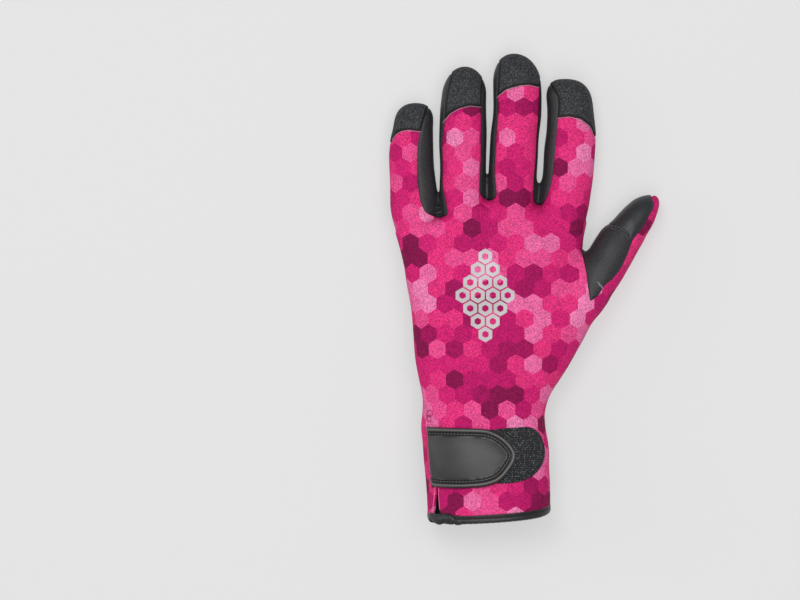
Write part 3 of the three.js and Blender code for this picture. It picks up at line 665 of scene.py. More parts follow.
def resample(path, step):
    path = np.array(path, float)
    run = np.append(0, np.cumsum(np.linalg.norm(np.diff(path, axis=0), axis=1)))
    at = np.linspace(0, run[-1], max(int(run[-1] / step), 2) + 1)
    return np.stack([np.interp(at, run, path[:, k]) for k in range(path.shape[1])], 1)


def onSkin(path, out, above=True, step=0.7):
    flat = resample(path, step)
    p = np.column_stack([flat, np.full(len(flat), 60.0 if above else -20.0)])
    for _ in range(60):
        p[:, 2] -= gloveField(p) * (0.8 if above else -0.8)
    return p + unit(gradient(p)) * (out + (foldHeight(p) if above else 0 * p[:, 0]))[:, None]


def place(obj, node):
    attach(obj, "root")
    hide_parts(node)


def inFrame(verts):
    return (np.asarray(verts, float) - [glove["origin"][0], glove["origin"][1], 0]) * mm


def addPiece(name, verts, faces, look, uv, sharp=38, edge=None):
    # a piece is called after its node, with one word more
    verts = inFrame(verts)
    verts[:, 2] = np.maximum(verts[:, 2], 0)
    mesh = bpy.data.meshes.new(name)
    mesh.vertices.add(len(verts))
    mesh.vertices.foreach_set("co", verts.ravel())
    mesh.loops.add(faces.size)
    mesh.loops.foreach_set("vertex_index", faces.ravel())
    mesh.polygons.add(len(faces))
    mesh.polygons.foreach_set("loop_start", np.arange(0, faces.size, faces.shape[1]))
    mesh.update(calc_edges=True)
    mesh.validate()
    mesh.polygons.foreach_set("use_smooth", np.ones(len(mesh.polygons), bool))
    mesh.set_sharp_from_angle(angle=math.radians(sharp))
    index = np.empty(len(mesh.loops), int)
    mesh.loops.foreach_get("vertex_index", index)
    mesh.uv_layers.new(name="pattern").data.foreach_set("uv", (np.array(uv)[index] * 0.01).ravel())
    if edge is not None:
        mesh.attributes.new("edge", "FLOAT", "POINT").data.foreach_set("value", edge)
    mesh.materials.append(bpy.data.materials[look])
    place(addObject(name, mesh), name.split(".")[0])


def closedPiece(name, p, n, tris, outer, inner, look, uv, edge=None):
    # a skin between two heights over a surface, with its rim
    used, t = renumbered(tris)
    count = len(used)
    top = p[used] + n[used] * outer[used][:, None]
    low = p[used] + n[used] * (inner if np.isscalar(inner) else inner[used][:, None])
    e = edgesOf(t)
    a, b = e[~np.isin(e[:, 0] * count + e[:, 1], e[:, 1] * count + e[:, 0])].T
    rim = np.concatenate([np.stack([b, a, a + count], 1), np.stack([b, a + count, b + count], 1)])
    if edge is not None:
        edge = np.append(edge[used], np.full(count, -1.0))
    addPiece(name, np.concatenate([top, low]), np.concatenate([t, t[:, ::-1] + count, rim]), look,
             uv[np.append(used, used)], edge=edge)


# shader arithmetic
class Wave:
    # a number or a socket that can be calculated with
    def __init__(self, shade, source):
        self.shade, self.source = shade, source

    def math(self, operation, *others):
        return self.shade.math(operation, self, *others)

    def __add__(self, o): return self.math("ADD", o)
    def __radd__(self, o): return self.math("ADD", o)
    def __sub__(self, o): return self.math("SUBTRACT", o)
    def __rsub__(self, o): return self.shade.math("SUBTRACT", o, self)
    def __mul__(self, o): return self.math("MULTIPLY", o)
    def __rmul__(self, o): return self.math("MULTIPLY", o)
    def __truediv__(self, o): return self.math("DIVIDE", o)
    def floor(self): return self.math("FLOOR")
    def fract(self): return self.math("FRACT")
    def size(self): return self.math("ABSOLUTE")
    def sine(self): return self.math("SINE")
    def least(self, o): return self.math("MINIMUM", o)
    def most(self, o): return self.math("MAXIMUM", o)

    def step(self, low, high, start=0.0, stop=1.0):
        node = self.shade.node("ShaderNodeMapRange", {"Value": self, "From Min": low, "From Max": high,
                                                      "To Min": start, "To Max": stop},
                               interpolation_type="SMOOTHSTEP")
        return Wave(self.shade, node.outputs["Result"])


class Nodes:
    def __init__(self, tree):
        self.tree = tree

    def join(self, value, socket):
        if isinstance(value, Wave):
            value = value.source
        if isinstance(value, bpy.types.NodeSocket):
            self.tree.links.new(value, socket)
        else:
            socket.default_value = value

    def node(self, kind, inputs=None, **settings):
        made = self.tree.nodes.new(kind)
        for key, value in settings.items():
            setattr(made, key, value)
        for key, value in (inputs or {}).items():
            self.join(value, made.inputs[key])
        return made


class Shade(Nodes):
    def __init__(self, name):
        self.material = bpy.data.materials.new(name)
        self.material.use_nodes = True
        super().__init__(self.material.node_tree)
        self.tree.nodes.clear()
        self.surface = self.node("ShaderNodeBsdfPrincipled")
        self.node("ShaderNodeOutputMaterial", {"Surface": self.surface.outputs["BSDF"]})

    def math(self, operation, *values):
        return Wave(self, self.node("ShaderNodeMath", dict(enumerate(values)), operation=operation).outputs[0])

    def axes(self, socket, scale, names):
        parts = self.node("ShaderNodeSeparateXYZ", {"Vector": socket})
        return [Wave(self, parts.outputs[k]) * scale for k in names]

    def pattern(self):
        # pattern coordinates in millimetres
        return self.axes(self.node("ShaderNodeUVMap", uv_map="pattern").outputs["UV"], 100, "XY")

    def place(self):
        return self.axes(self.node("ShaderNodeTexCoord").outputs["Object"], 1000, "XYZ")

    def vector(self, x, y, z=0.0):
        return self.node("ShaderNodeCombineXYZ", {"X": x, "Y": y, "Z": z}).outputs["Vector"]

    def edge(self):
        # how far in from the border, in millimetres
        return Wave(self, self.node("ShaderNodeAttribute", attribute_name="edge").outputs["Fac"])

    def noise(self, vector, scale, detail=2.0, rough=0.5):
        inputs = {"Vector": vector, "Scale": scale, "Detail": detail, "Roughness": rough}
        return Wave(self, self.node("ShaderNodeTexNoise", inputs).outputs["Fac"])

    def chance(self, vector):
        node = self.node("ShaderNodeTexWhiteNoise", {"Vector": vector}, noise_dimensions="3D")
        return Wave(self, node.outputs["Value"])

    def mix(self, factor, one, two):
        # the colour inputs of this node are its seventh and eighth, the colour result its third
        return self.node("ShaderNodeMix", {0: factor, 6: one, 7: two}, data_type="RGBA").outputs[2]

    def ramp(self, factor, stops, smooth=False):
        node = self.node("ShaderNodeValToRGB", {"Fac": factor})
        node.color_ramp.interpolation = "LINEAR" if smooth else "CONSTANT"
        while len(node.color_ramp.elements) > 1:
            node.color_ramp.elements.remove(node.color_ramp.elements[0])
        node.color_ramp.elements[0].position = stops[0][0]
        node.color_ramp.elements[0].color = stops[0][1]
        for at, tint in stops[1:]:
            node.color_ramp.elements.new(at).color = tint
        return node.outputs["Color"]

    def bump(self, height, distance, strength=1.0):
        inputs = {"Height": height, "Distance": distance, "Strength": strength}
        return self.node("ShaderNodeBump", inputs).outputs["Normal"]

    def finish(self, **values):
        for key, value in values.items():
            self.join(value, self.surface.inputs[key.replace("_", " ")])
        return self.material


def tint(red, green, blue):
    # display values to light
    light = [v / 255 / 12.92 if v <= 10 else ((v / 255 + 0.055) / 1.055) ** 2.4 for v in (red, green, blue)]
    return (*light, 1.0)


# printed cloth: hexagons in clusters of pink, with a silver honeycomb on the back of the hand
clothPrint = {"across": 9.1, "badge": (-20.4, -3.6), "cell": 7.8, "ringOuter": 0.455, "ringInner": 0.21}


def hexCells(s, u, v, across):
    # offset from the nearest cell centre and that centre's own number, in units of the width across flats
    x, y = u / across, v / across
    tall = math.sqrt(3)
    ax, ay = x.floor() + 0.5, (y / tall).floor() + 0.5
    bx, by = (x + 0.5).floor(), (y / tall + 0.5).floor()
    dax, day = x - ax, y - ay * tall
    dbx, dby = x - bx, y - by * tall
    nearA = s.math("LESS_THAN", dax * dax + day * day, dbx * dbx + dby * dby)
    dx = dbx + (dax - dbx) * nearA
    dy = dby + (day - dby) * nearA
    return dx, dy, x - dx, y - dy


def hexReach(dx, dy):
    # distance from the centre measured across flats, 0.5 at the side
    return dx.size().most(dx.size() * 0.5 + dy.size() * (math.sqrt(3) / 2))


def patternedCloth():
    s = Shade("patternedCloth")
    u, v = s.pattern()
    soft = s.noise(s.vector(u, v), 0.9, 2.0)
    wobble = (soft - 0.5) * 0.55
    _, _, cx, cy = hexCells(s, u + wobble, v - wobble, clothPrint["across"])
    centre = s.vector(cx, cy, 0.31)
    cluster = s.noise(centre, 0.42, 1.0)
    own = s.chance(s.vector((cx * 2 + 0.25).floor(), (cy * 4 + 0.25).floor(), 7.0))
    level = (cluster - 0.5) * 2.3 + 0.5 + (own - 0.5) * 0.46
    colour = s.ramp(level, [(0.0, tint(134, 16, 74)), (0.11, tint(164, 18, 90)), (0.22, tint(190, 24, 103)),
                            (0.36, tint(210, 34, 113)), (0.5, tint(226, 50, 122)), (0.64, tint(231, 76, 140)),
                            (0.8, tint(234, 106, 162)), (0.95, tint(236, 126, 176))])
    grain = s.noise(s.vector(u, v), 2.2, 2.0, 0.75)
    fine = s.chance(s.vector((u * 1.9).floor(), (v * 1.9).floor(), 3.0))
    shadeOf = 0.915 + (grain - 0.5) * 0.95 + (fine - 0.5) * 0.62
    colour = s.node("ShaderNodeVectorMath", {0: colour, 1: s.vector(shadeOf, shadeOf, shadeOf)},
                    operation="MULTIPLY").outputs[0]
    # silver badge
    px, py = clothPrint["badge"]
    bu, bv = u - px + clothPrint["cell"] / 2, v - py
    ex, ey, ix, iy = hexCells(s, bu, bv, clothPrint["cell"])
    reach = hexReach(ex, ey)
    ring = reach.step(clothPrint["ringInner"] - 0.012, clothPrint["ringInner"] + 0.012) * \
        reach.step(clothPrint["ringOuter"] + 0.012, clothPrint["ringOuter"] - 0.012)
    # a tall lozenge: four cells in the middle row and one fewer in each row away from it
    lozenge = (ix - 0.5).size() + iy.size() * (1 / math.sqrt(3))
    badge = ring * s.math("LESS_THAN", lozenge, 1.6)
    badge = badge * s.math("GREATER_THAN", s.place()[2], 12.0)
    gleam = s.noise(s.vector(u, v), 0.05, 1.0)
    silver = s.mix(gleam, tint(150, 148, 150), tint(196, 194, 196))
    colour = s.mix(badge * 0.97, colour, silver)
    colour = s.mix(s.edge().step(-0.6, -0.4), tint(30, 30, 33), colour)  # plain black lining on the inside
    knit = (u * 7.0 + v * 2.0).sine() * (v * 7.0 - u * 2.0).sine()
    height = knit * 0.25 + (grain - 0.5) * 1.2
    normal = s.bump(height * (1 - badge * 0.6), 0.00012, 0.55)
    return s.finish(Base_Color=colour, Roughness=0.8 - badge * 0.38, Metallic=badge * 0.25, Normal=normal,
                    Specular_IOR_Level=0.15)


def plainBlack(name, dark, light, rough, grainScale, bumpSize, seamShade=False):
    s = Shade(name)
    x, y, z = s.place()
    where = s.vector(x, y, z)
    grain = s.noise(where, grainScale, 3.0, 0.65)
    colour = s.mix(grain.step(0.3, 0.75), dark, light)
    # painted shade: the colour darkens to near black within a millimetre of the seam groove
    if seamShade:
        colour = s.mix(s.edge().step(0.25, 0.9), tint(9, 9, 10), colour)
    normal = s.bump(grain, bumpSize, 0.6)
    return s.finish(Base_Color=colour, Roughness=rough, Normal=normal, Specular_IOR_Level=0.4)


def capCloth():
    s = Shade("capCloth")
    x, y, z = s.place()
    specks = s.chance(s.vector((x * 2.0).floor(), (y * 2.0).floor(), (z * 2.0).floor()))
    soft = s.noise(s.vector(x, y, z), 2.2, 3.0, 0.7)
    level = specks * 0.45 + soft * 0.8
    colour = s.ramp(level, [(0.2, tint(14, 14, 16)), (0.5, tint(28, 29, 32)), (0.8, tint(62, 64, 68)),
                            (1.0, tint(108, 110, 116))], True)
    # painted shade: darker along the cap's rolled-down edge, up to 1.6 mm in from the seam
    colour = s.mix(s.edge().step(0.5, 1.6), tint(13, 13, 15), colour)
    normal = s.bump(level, 0.00014, 0.6)
    return s.finish(Base_Color=colour, Roughness=0.72, Normal=normal, Specular_IOR_Level=0.35)


def palmLeather():
    s = Shade("palmLeather")
    u, v = s.pattern()
    twill = ((u + v) * 5.2).sine() * 0.5 + ((u - v) * 5.2).sine() * 0.5
    soft = s.noise(s.vector(u, v), 0.35, 2.0)
    colour = s.mix(twill.step(-0.6, 0.9) * 0.55 + (soft - 0.5) * 0.5, tint(52, 54, 58), tint(92, 94, 99))
    normal = s.bump(twill, 0.00012, 0.5)
    return s.finish(Base_Color=colour, Roughness=0.52, Normal=normal, Coat_Weight=0.08)


def loopFabric():
    s = Shade("loopFabric")
    u, v = s.pattern()
    side = ((u / 1.7).fract() - 0.5).size() * 2
    slant = (v / 1.15 + side * 0.9).fract()
    thread = slant.step(0.2, 0.5) * (1 - slant.step(0.72, 0.98))
    split = side.step(0.02, 0.2) * (1 - side.step(0.84, 1.0))
    fluff = s.noise(s.vector(u, v), 3.2, 2.0, 0.7)
    # painted highlight: the zigzag threads of the black cloth are drawn light grey
    light = thread * split
    # painted glints: bright specks on those threads
    glint = s.chance(s.vector((u * 1.8).floor(), (v * 1.8).floor(), 5.0)).step(0.7, 0.97)
    colour = s.mix((light * fluff.step(0.28, 0.62)).least(1.0), tint(6, 6, 8), tint(84, 86, 90))
    colour = s.mix(glint * light, colour, tint(142, 144, 148))
    normal = s.bump(light + fluff * 0.5, 0.0004, 0.8)
    return s.finish(Base_Color=colour, Roughness=0.8, Normal=normal, Specular_IOR_Level=0.3)


def strapRubber():
    s = Shade("strapRubber")
    x, y, z = s.place()
    soft = s.noise(s.vector(x, y, z), 0.12, 2.0)
    fine = s.noise(s.vector(x, y, z), 4.0, 2.0, 0.7)
    inside = s.edge()
    panel = s.mix(soft, tint(43, 42, 42), tint(54, 53, 52))
    # painted highlight: the top of the welt is lighter grey than the rubber
    welt = s.mix(inside.step(0.5, 1.3) * (1 - inside.step(1.5, 2.2)), tint(44, 43, 43), tint(92, 90, 88))
    # painted shade: the sunken stitched channel is darker
    colour = s.mix(inside.step(2.1, 2.6), welt, tint(26, 26, 27))
    colour = s.mix(inside.step(3.9, 4.3), colour, panel)
    normal = s.bump(fine, 0.00006, 0.5)
    return s.finish(Base_Color=colour, Roughness=0.44 + (fine - 0.5) * 0.15, Normal=normal)


def ribbedWeb():
    s = Shade("ribbedWeb")
    x, y, z = s.place()
    ribs = ((y + z) * 4.2).sine() * 0.5 + 0.5
    across = (x * 6.0).sine() * 0.5 + 0.5
    colour = s.mix(ribs * 0.7 + across * 0.3, tint(26, 27, 30), tint(74, 76, 82))
    return s.finish(Base_Color=colour, Roughness=0.7, Normal=s.bump(ribs * 0.7 + across * 0.4, 0.0003, 0.8))


def plain(name, colour, rough, metal=0.0):
    return Shade(name).finish(Base_Color=colour, Roughness=rough, Metallic=metal)


patternedCloth()
capCloth()
palmLeather()
loopFabric()
strapRubber()
ribbedWeb()
plainBlack("blackNeoprene", tint(26, 26, 29), tint(46, 47, 51), 0.62, 1.6, 0.00010)
# the strips carry painted shade along their seam grooves
plainBlack("stripNeoprene", tint(30, 30, 33), tint(54, 55, 58), 0.50, 1.4, 0.00006, True)
plainBlack("bindingTape", tint(24, 24, 26), tint(46, 47, 50), 0.40, 1.8, 0.00008)
plainBlack("thumbLeather", tint(30, 31, 34), tint(50, 52, 56), 0.42, 2.4, 0.00008)
plain("ringWire", tint(34, 34, 37), 0.3, 0.9)
plain("blackThread", tint(20, 20, 22), 0.55)
# the strap's stitches are dark thread, their light grey is a painted glint
plain("strapThread", tint(92, 90, 88), 0.35)
plain("greyThread", tint(86, 88, 92), 0.55)
plain("silverThread", tint(168, 166, 170), 0.5)
# stitches along the cap edges, light grey as a painted highlight on each cap's cut edge
plain("edgeThread", tint(158, 146, 152), 0.6)
plain("tackThread", tint(150, 14, 72), 0.6)
plain("paleThread", tint(238, 110, 164), 0.6)
report("materials")

# panels of the skin
panelLooks = {"back_panel": "patternedCloth", "palm_panel": "blackNeoprene", "thumb_inner": "stripNeoprene"}
for label in shapes:
    panelLooks[label] = "capCloth" if label.startswith("cap_") else "stripNeoprene"
seam = {"depth": 0.45, "wide": 0.7, "capLift": 0.25, "soft": 0.25}
lift = foldHeight(points)
# a faint unevenness, as soft cloth has everywhere
ripple = (np.sin(points[:, 0] * 0.23 + points[:, 1] * 0.11) * np.sin(points[:, 1] * 0.19 - points[:, 0] * 0.07)
          * seam["soft"] * rise(seamHeight(points), 0, 8))
groove = -seam["depth"] * np.exp(-(edgeDistance / seam["wide"]) ** 2)
for label, look in panelLooks.items():
    relief = seam["capLift"] * rise(edgeDistance, -0.4, 0.8) if label.startswith("cap_") else groove
    outer = lift + ripple + relief
    closedPiece(label + ".skin", points, normals, tris[labels == label], outer, lift - glove["wall"],
                look, pattern, edgeDistance)
report("panels")


# surface of the cuff unrolled, for what is sewn on it
cuff = {"from": -132.0, "to": -56.0, "past": 0.42, "samples": 500, "upper": 14}


def cuffSection(y):
    # arc length from the top of the section, with the point on the form
    side = np.linspace(-cuff["past"], math.pi + cuff["past"], cuff["samples"])
    centre, half, top, under, n = [float(v[0]) for v in body.at(np.array([y]))]
    c, s = np.cos(side), np.sin(side)
    x = centre - np.sign(c) * np.abs(c) ** (2 / n) * half
    z = (top + under) / 2 + np.sign(s) * np.abs(s) ** (2 / n) * (top - under) / 2
    run = np.append(0, np.cumsum(np.hypot(np.diff(x), np.diff(z))))
    return run - run[cuff["samples"] // 2], x, z


def unrolled(outline):
    out = []
    for x, y in outline:
        run, xs, zs = cuffSection(y)
        high = zs > cuff["upper"]
        out.append((np.interp(x, xs[high], run[high]), y))
    return np.array(out)


def ontoCuff(flat):
    # flat (arc, y) to points on the form and their normals
    rows = np.arange(cuff["from"], cuff["to"], 1.0)
    sections = [cuffSection(y) for y in rows]
    at = np.clip((flat[:, 1] - rows[0]), 0, len(rows) - 1.001)
    i = at.astype(int)
    f = at - i
    p = np.empty((len(flat), 3))
    for k in np.unique(i):
        pick = i == k
        for axis, column in ((0, 1), (2, 2)):
            one, two = [np.interp(flat[pick, 0], q[0], q[column]) for q in sections[k:k + 2]]
            p[pick, axis] = (1 - f[pick]) * one + f[pick] * two
    p[:, 1] = flat[:, 1]
    return p, unit(gradient(p))


def flatGrid(outline, step):
    lo, hi = outline.min(0) - step, outline.max(0) + step
    nx, ny = int((hi[0] - lo[0]) / step) + 1, int((hi[1] - lo[1]) / step) + 1
    gx, gy = np.meshgrid(lo[0] + step * np.arange(nx), lo[1] + step * np.arange(ny), indexing="ij")
    flat = np.stack([gx.ravel(), gy.ravel(), np.zeros(nx * ny)], 1)
    index = np.arange(nx * ny).reshape(nx, ny)
    flat, faces = cutAlong(flat, trisOf(quadsOf(index)), within(outline), step * 0.15)
    used, faces = renumbered(faces[outlineField(outline, flat[faces].mean(1)) > 0])
    return flat[used], faces


def insetPath(outline, distance, closed=True):
    # the line at one distance inside an outline, walking along it
    whole = np.vstack([outline, outline[:1]]) if closed else outline
    line = resample(whole, 0.5)[:-1]
    ahead, behind = np.roll(line, -2, 0), np.roll(line, 2, 0)
    if not closed:
        ahead[-2:], behind[:2] = line[-1], line[0]
    along = unit(ahead - behind)
    across = np.stack([-along[:, 1], along[:, 0]], 1)
    area = 0.5 * np.sum(outline[:, 0] * np.roll(outline[:, 1], -1) - np.roll(outline[:, 0], -1) * outline[:, 1])
    moved = line + across * distance * (1 if area > 0 else -1)
    return moved[lineDistance(whole, moved) > distance - 0.08]


def profile(distance, rows):
    return readRows(smoothRows(rows, 0.02), distance)


loopPlan = roundOutline([(-23.0, -76.0), (-15.1, -73.2), (-4.0, -72.2), (2.4, -72.1), (7.0, -74.9), (9.5, -80.2),
                         (10.2, -86.4), (8.6, -92.0), (5.0, -96.5), (-0.4, -99.6), (-6.4, -100.8), (-14.0, -101.2),
                         (-23.0, -99.4)], 4)
strapPlan = [(-49.0, -72.0), (-36.0, -72.5), (-22.0, -73.0), (-16.4, -74.5), (-12.0, -77.1), (-8.6, -80.2),
             (-6.0, -83.9), (-5.1, -86.6), (-5.9, -90.2), (-8.2, -94.2), (-11.2, -98.2), (-15.0, -101.1),
             (-20.9, -102.9), (-28.0, -103.6), (-35.5, -103.8), (-44.0, -103.3), (-46.2, -102.4), (-47.2, -100.8)]

# woven patch, a single layer with a stitched border
loopFlat = unrolled(loopPlan)
flat, faces = flatGrid(loopFlat, 0.6)
p, n = ontoCuff(flat)
inside = np.maximum(outlineField(loopFlat, flat), 0)
height = profile(inside, [(0, 0.35), (0.35, 0.95), (1.0, 1.12), (1.7, 0.9), (2.4, 1.15), (4.0, 1.25), (60, 1.25)])
closedPiece("loop_patch.woven", p, n, faces, height, 0.05, "loopFabric", flat[:, :2])

# rubber tab over it: a welt along three sides, a stitched channel and a flat panel
strapFlat = unrolled(strapPlan)
strapRound = resample(roundOutline(strapFlat)[5:-5], 0.8)
strapFlat = np.vstack([strapFlat[:1], strapRound, strapFlat[-1:]])
flat, faces = flatGrid(strapFlat, 0.45)
p, n = ontoCuff(flat)
inside = np.minimum(lineDistance(strapFlat, flat), 30)
height = profile(inside, [(0, 1.9), (0.2, 2.7), (0.6, 3.35), (1.1, 3.65), (1.6, 3.6), (2.1, 3.2), (2.5, 2.6),
                          (2.9, 2.35), (3.7, 2.35), (4.1, 2.8), (4.5, 2.95), (4.8, 2.7), (5.1, 2.85), (5.8, 3.0),
                          (30, 3.1)])
leftEnd = rise(flat[:, 0] - flat[:, 0].min(), 0, 2.0)
height = height * (0.72 + 0.28 * leftEnd)
closedPiece("strap_tab.rubber", p, n, faces, height, 0.12, "strapRubber", flat[:, :2], inside)
report("strap and loop patch")


# tubes and folded strips along a line
def sweep(path, normalsAt, section, closed=False, capRings=0, capLength=0.8, swell=1.0):
    # section points are (out along the normal, sideways along the binormal)
    path, section = np.array(path, float), np.array(section, float)
    along = unit(np.roll(path, -1, 0) - np.roll(path, 1, 0) if closed else np.gradient(path, axis=0))
    n = np.array(normalsAt, float)
    n = unit(n - (n * along).sum(1)[:, None] * along)
    b = np.cross(n, along)
    grow = np.broadcast_to(swell, len(path))
    middle = section.mean(0)

    def ringAt(k, scale, shift=0.0):
        q = middle + (section - middle) * scale * grow[k]
        return path[k] + q[:, :1] * n[k] + q[:, 1:] * b[k] + along[k] * shift
    rings = [ringAt(k, 1.0) for k in range(len(path))]
    for j in range(1, capRings + 1):
        turn = math.pi / 2 * j / capRings
        scale, shift = max(math.cos(turn), 0.12), capLength * math.sin(turn)
        rings = [ringAt(0, scale, -shift)] + rings + [ringAt(len(path) - 1, scale, shift)]
    count, sides = len(rings), len(section)
    faces = trisOf(tubeQuads(count, sides, closed))
    if not closed:
        last, k = (count - 1) * sides, np.arange(1, sides - 1)
        faces = np.concatenate([faces, np.stack([0 * k, k + 1, k], 1), np.stack([0 * k, k, k + 1], 1) + last])
    verts = np.concatenate(rings)
    a, c, e = verts[faces.T]
    if (np.cross(c, e) * a).sum() < 0:
        faces = faces[:, ::-1]
    return verts, faces


def soften(line, rounds):
    for _ in range(rounds):
        line[1:-1] = (line[:-2] + 2 * line[1:-1] + line[2:]) / 4


def ovalSection(out, wide, sides):
    turn = 2 * np.pi * np.arange(sides) / sides
    return np.stack([out * np.cos(turn), wide * np.sin(turn)], 1)


# the hem line, from the little finger side of the slit round the palm to its other side
atHem = ((borderOne == "") != (borderTwo == "")) & (np.abs(hemHeight(points[border].mean(1))) < 0.25)
links = {}
for a, b in border[atHem].tolist():
    links.setdefault(a, []).append(b)
    links.setdefault(b, []).append(a)
ends = [k for k, v in links.items() if len(v) == 1]
walk = [min(ends, key=lambda k: points[k][0])]
seen = set(walk)
while True:
    onward = [k for k in links[walk[-1]] if k not in seen]
    if not onward:
        break
    walk.append(onward[0])
    seen.add(onward[0])
walk = [k for k in walk if points[k][2] < 25 or not bindStart - 9 < points[k][0] < bindStart]
hemStep = 0.9
hemLine = resample(points[walk], hemStep)
soften(hemLine, 6)
hemNormals = unit(gradient(hemLine))
report("hem line of %d points from %s to %s" % (len(hemLine), hemLine[0].round(1), hemLine[-1].round(1)))

# binding: sewn zone above, rolled edge below, folded to the inside
bindSection = [(0.05, 3.1), (0.75, 3.05), (1.0, 2.8), (1.0, 2.35), (0.72, 2.05), (0.72, 1.75), (1.1, 1.4), (1.3, 0.9),
               (1.32, 0.3), (1.22, -0.3), (0.85, -0.8), (0.2, -1.1), (-0.9, -1.25), (-2.0, -1.1), (-2.7, -0.8),
               (-3.05, -0.2), (-3.05, 2.0), (-2.85, 2.9), (-2.0, 3.1), (-1.96, -0.1), (0.04, -0.1)]
bind = {"endSwell": 0.24, "endReach": 2.6, "crimp": 0.03, "crimpRate": 2.1, "slim": [(14, 0.74), (27, 1.0)],
        "sink": 0.9, "sinkOver": (22, 36), "sinkFrom": (4, 10)}
run = np.arange(len(hemLine)) * hemStep
swell = 1 + bind["endSwell"] * np.exp(-(np.minimum(run, run[::-1]) / bind["endReach"]) ** 2)
crimp = 1 + bind["crimp"] * np.sin(run * bind["crimpRate"])
bindSection = [(out, -up) for out, up in bindSection]
slim = readRows(bind["slim"], hemLine[:, 2])
# the sides lie a little inwards, the top and the underside don't
sink = bind["sink"] * (1 - rise(hemLine[:, 2:3], *bind["sinkOver"])) * rise(hemLine[:, 2:3], *bind["sinkFrom"])
bindPath = hemLine - hemNormals * sink
verts, faces = sweep(bindPath, hemNormals, bindSection, capRings=4, capLength=1.1, swell=swell * crimp * slim)
addPiece("hem_binding.roll", verts, faces, "bindingTape", verts[:, :2], 50)

# what the binding does between the two edges of the slit
foldPath = onSkin([(-48.2, -118.3), (-46.9, -118.8), (-45.4, -119.6), (-44.0, -120.0), (-42.4, -119.5),
                   (-40.8, -119.0), (-39.2, -119.4), (-37.0, -120.4)], 0.5, step=0.4)
soften(foldPath, 4)
pleatRows = [(0, 0.7), (0.25, 1.0), (0.4, 1.12), (0.6, 0.94), (0.8, 1.02), (1, 0.75)]  # share of the way, swell
pleats = readRows(pleatRows, np.linspace(0, 1, len(foldPath)))
verts, faces = sweep(foldPath, gradient(foldPath), ovalSection(1.15, 2.6, 18), capRings=4, swell=pleats)
addPiece("hem_binding.fold", verts, faces, "bindingTape", verts[:, :2], 50)

gussetPlan = [(-49.6, -66.0), (-41.0, -66.0), (-38.0, -106.0), (-31.0, -112.5), (-31.0, -121.0), (-40.0, -122.4),
              (-50.0, -120.6)]
gusset = {"outer": -3.5, "inner": -4.6, "ridge": 2.7, "ridgeWide": 0.6}
flat, faces = flatGrid(unrolled(gussetPlan), 0.6)
p, n = ontoCuff(flat)
away = lineDistance(unrolled([(-45.7, -66.0), (-45.7, -104.0), (-45.3, -110.0)]), flat)
outer = gusset["ridge"] * np.exp(-(away / gusset["ridgeWide"]) ** 2) + gusset["outer"]
closedPiece("slit_gusset.ply", p, n, faces, outer, gusset["inner"], "blackNeoprene", flat[:, :2])
report("binding and gusset")


# patches laid on the skin
def outlinePatch(name, shape, low, outerRows, look):
    keep = outlineField(shape, points)[tris].max(1) > -2
    fields = [within(shape)]
    if low is not None:
        keep &= points[tris][:, :, 2].min(1) < low + 1.5
        fields.append(lambda q: low - q[:, 2])
    used, t = renumbered(tris[keep])

    def inside(q):
        return np.min([f(q) for f in fields], axis=0)
    p, t = refine(points[used], t, np.abs(inside(points[used])), 1.2, 0.6)
    for f in fields:
        p, t = cutAlong(p, t, f)
    p = toSurface(p, 1)
    t = t[inside(p[t].mean(1)) > 0]
    outer = profile(np.maximum(inside(p), 0), outerRows)
    closedPiece(name + ".leather", p, unit(gradient(p)), t, outer, 0.06, look, patternCoordinates(p))


palmOutline = [
    (-66.0, 61.2), (-67.2, 52.0), (-65.2, 38.0), (-61.4, 20.0), (-57.6, 2.0), (-54.6, -7.0), (-30.3, -10.9),
    (-12.6, -14.7), (2.0, -17.0), (3.7, -5.5), (7.8, 3.5), (13.4, 8.5), (19.0, 11.0), (26.0, 17.0), (29.4, 27.0),
    (30.6, 40.0), (33.0, 54.0), (32.6, 62.6), (14.6, 62.6), (12.6, 50.0), (8.0, 38.6), (2.8, 48.0), (3.6, 65.6),
    (-15.6, 65.6), (-15.6, 50.0), (-19.2, 39.0), (-23.6, 48.0), (-23.2, 61.4), (-40.6, 61.4), (-40.4, 46.0),
    (-45.4, 37.0), (-50.8, 44.0), (-51.2, 61.2)]
leatherRows = [(0, 0.3), (0.3, 0.8), (0.8, 0.97), (2.0, 1.0), (60, 1.0)]
patchLow = 7.2
outlinePatch("palm_patch", np.array(palmOutline), patchLow, leatherRows, "palmLeather")
tipRows = {"little": (-58.2, 8.4, 94.6, 70.8), "ring": (-31.5, 9.2, 111.4, 86.0), "middle": (-4.2, 9.8, 118.6, 88.4),
           "index": (24.0, 9.4, 106.6, 78.6)}
tipShapes = {}
for name, (x, half, tip, end) in tipRows.items():
    turn = np.linspace(0, math.pi, 17)
    arch = np.stack([x + half * np.cos(turn), tip - half + half * np.sin(turn)], 1)
    tipShapes[name] = np.vstack([arch, [(x - half, end), (x + half, end)]])
    outlinePatch("tip_patch_" + name, tipShapes[name], patchLow, leatherRows, "palmLeather")
thumbPatch = [(38.0, 38.0), (43.6, 34.2), (48.0, 32.6), (51.6, 30.6), (54.2, 28.2), (55.6, 25.6), (57.2, 27.2),
              (60.6, 31.0), (63.0, 35.2), (65.5, 39.8), (67.1, 42.8), (67.3, 45.0), (66.4, 48.0), (65.8, 60.0),
              (50, 62)]
thumbRows = [(0, 0.15), (0.3, 0.42), (0.8, 0.55), (60, 0.55)]
outlinePatch("thumb_tip_patch", np.array(thumbPatch), None, thumbRows, "thumbLeather")
report("palm side patches")

